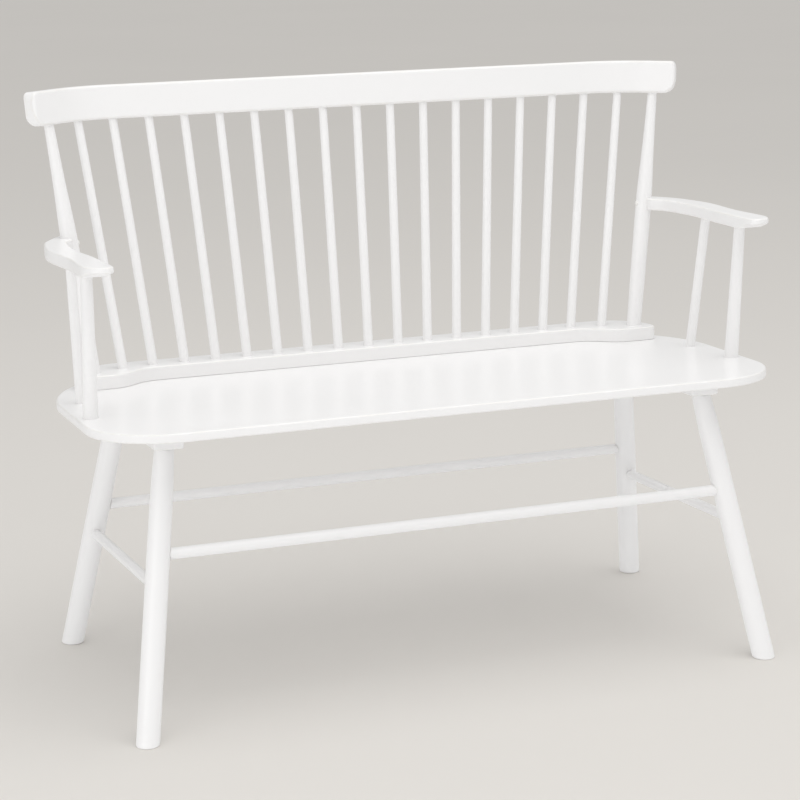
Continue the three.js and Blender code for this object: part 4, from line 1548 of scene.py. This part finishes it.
class BuildScrews(Operator):
    """Builds the countersunk screws under the seat and in the end posts"""

    bl_idname = "bench.screws"
    bl_label = "Screws"

    def execute(self, context):
        plan = Plan(context.scene.bench)
        steel = screw_steel(plan.paint)
        axes = {f"cleat_screw_{n + 1}": axis for n, axis in enumerate(plan.cleat_screw_axes())}
        axes |= {f"rail_screw_{n + 1}": axis for n, axis in enumerate(plan.rail_screw_axes())}
        axes |= {f"arm_screw_{name}": plan.arm_screw_axis(side) for name, side in SIDES}
        for node, axis in axes.items():
            piece = Piece()
            screw_shape(piece, axis, plan.fitting)
            place_piece(piece, node, steel, "steel")
        return {"FINISHED"}


class BuildCaps(Operator):
    """Builds the round button caps that cover the arm screws"""

    bl_idname = "bench.caps"
    bl_label = "Button caps"

    def execute(self, context):
        plan = Plan(context.scene.bench)
        fitting = plan.fitting
        paint = cap_paint(plan.paint)
        radius = fitting.cap_diameter / 2
        shoulder = fitting.counterbore - CAP_SHOULDER_DEPTH
        rise = fitting.cap_height + CAP_SHOULDER_DEPTH
        profile = [(fitting.counterbore - CAP_PLUG_LENGTH, radius), (shoulder, radius)]
        for angle in quarter_angles(EASE_STEPS + 1, 1)[:-1]:
            profile.append((shoulder + rise * math.sin(angle), radius * math.cos(angle)))
        for name, side in SIDES:
            screw = plan.arm_screw_axis(side)
            piece = Piece()
            axis = Axis(screw.foot, screw.point(-fitting.counterbore))
            piece.cap(piece.lathe(axis, profile, CAP_SIDES)[0])
            place_piece(piece, f"button_cap_{name}", paint)
        return {"FINISHED"}


class BuildStage(Operator):
    """Sets up the plain floor, the soft light and the camera"""

    bl_idname = "bench.stage"
    bl_label = "Floor, light and camera"

    def execute(self, context):
        scene, studio = context.scene, context.scene.bench.studio
        self.floor(scene, studio)
        self.lamp(scene, "key light", KEY_PLACE, KEY_SIZE, studio.key_power)
        self.lamp(scene, "fill light", FILL_PLACE, FILL_SIZE, studio.fill_power)
        self.sky(scene, studio)
        self.camera(scene)
        scene.view_settings.view_transform = "Standard"
        return {"FINISHED"}

    def stand(self, scene, name, data):
        """The object of that name, put in the scene once."""
        item = bpy.data.objects.get(name) or bpy.data.objects.new(name, data)
        if item.name not in scene.collection.objects:
            scene.collection.objects.link(item)
        return item

    def floor(self, scene, studio):
        remove_old("studio_floor")
        bm = bmesh.new()
        turns = [side * FULL_TURN / FLOOR_SIDES for side in range(FLOOR_SIDES)]
        rings = [
            [bm.verts.new((radius * math.cos(turn), radius * math.sin(turn), 0)) for turn in turns]
            for radius in FLOOR_RADII
        ]
        bm.faces.new(rings[0])
        for ring, other in zip(rings, rings[1:]):
            for here in range(FLOOR_SIDES):
                after = (here + 1) % FLOOR_SIDES
                bm.faces.new((ring[here], other[here], other[after], ring[after]))
        mesh = bpy.data.meshes.new("studio_floor")
        bm.to_mesh(mesh)
        bm.free()
        mesh.materials.append(floor_paint(studio))
        self.stand(scene, "studio_floor", mesh)

    def lamp(self, scene, name, place, size, power):
        lamp = bpy.data.lights.get(name) or bpy.data.lights.new(name, "AREA")
        lamp.shape = "DISK"
        lamp.size = size
        lamp.energy = power
        item = self.stand(scene, name, lamp)
        item.location = place
        item.rotation_mode = "QUATERNION"
        item.rotation_quaternion = (Vector(LAMP_TARGET) - Vector(place)).to_track_quat("-Z", "Y")

    def sky(self, scene, studio):
        world = scene.world or bpy.data.worlds.new("Studio")
        scene.world = world
        world.use_nodes = True
        world.node_tree.nodes.clear()
        graph = Graph(world.node_tree)
        place = graph.add("ShaderNodeTexCoord").outputs["Generated"]
        height = graph.add("ShaderNodeSeparateXYZ", {0: place}).outputs["Z"]
        tone = graph.mix(graph.spread(height, *SKY_RISE), LOW_SKY, HIGH_SKY)
        back = graph.add("ShaderNodeBackground", {"Color": tone, "Strength": studio.sky})
        graph.add("ShaderNodeOutputWorld", {"Surface": back.outputs[0]})

    def camera(self, scene):
        data = bpy.data.cameras.get("bench camera") or bpy.data.cameras.new("bench camera")
        data.sensor_width = SENSOR_WIDTH
        data.lens = FOCAL_LENGTH_PIXELS / PICTURE_WIDTH * SENSOR_WIDTH
        data.shift_x = data.shift_y = CAMERA_SHIFT
        data.clip_end = CAMERA_REACH
        yaw, pitch, roll = CAMERA_YAW, CAMERA_PITCH, CAMERA_ROLL
        level = math.cos(pitch)
        ahead = Vector((math.sin(yaw) * level, math.cos(yaw) * level, math.sin(pitch)))
        right = Vector((math.cos(yaw), -math.sin(yaw), 0))
        above = right.cross(ahead)
        turned_right = right * math.cos(roll) + above * math.sin(roll)
        turned_above = above * math.cos(roll) - right * math.sin(roll)
        turn = Matrix((turned_right, turned_above, -ahead)).transposed()
        scene.camera = self.stand(scene, "bench camera", data)
        scene.camera.matrix_world = Matrix.Translation(CAMERA_PLACE) @ turn.to_4x4()


BUILDERS = (
    BuildSeat,
    BuildSpindleRail,
    BuildCrestRail,
    BuildSpindles,
    BuildEndPosts,
    BuildArms,
    BuildArmPosts,
    BuildLegs,
    BuildStretchers,
    BuildCleats,
    BuildScrews,
    BuildCaps,
    BuildStage,
)


class BenchPanel(Panel):
    """Lists the pieces of the bench and the sizes and colours they are made from."""

    bl_idname = "BENCH_PT_pieces"
    bl_label = "Spindle-back bench"
    bl_space_type = "VIEW_3D"
    bl_region_type = "UI"
    bl_category = "Bench"

    def draw(self, context):
        column = self.layout.column(align=True)
        for builder in BUILDERS:
            column.operator(builder.bl_idname)
        for part in ("seat", "back", "arm", "leg", "fitting", "paint", "studio"):
            group = getattr(context.scene.bench, part)
            box = self.layout.box()
            box.label(text=group.bl_rna.description)
            for name in group.__annotations__:
                box.prop(group, name)


CLASSES = (
    BenchSeatSizes,
    BenchBackSizes,
    BenchArmSizes,
    BenchLegSizes,
    BenchFittingSizes,
    BenchPaint,
    BenchStudio,
    BenchSettings,
    *BUILDERS,
    BenchPanel,
)


def register():
    for item in CLASSES:
        bpy.utils.register_class(item)
    bpy.types.Scene.bench = PointerProperty(type=BenchSettings)


def unregister():
    del bpy.types.Scene.bench
    for item in reversed(CLASSES):
        bpy.utils.unregister_class(item)


def main():
    register()
    bpy.ops.bench.seat()
    bpy.ops.bench.spindle_rail()
    bpy.ops.bench.crest_rail()
    bpy.ops.bench.spindles()
    bpy.ops.bench.end_posts()
    bpy.ops.bench.arms()
    bpy.ops.bench.arm_posts()
    bpy.ops.bench.legs()
    bpy.ops.bench.stretchers()
    bpy.ops.bench.cleats()
    bpy.ops.bench.screws()
    bpy.ops.bench.caps()
    bpy.ops.bench.stage()


if __name__ == "__main__":
    main()
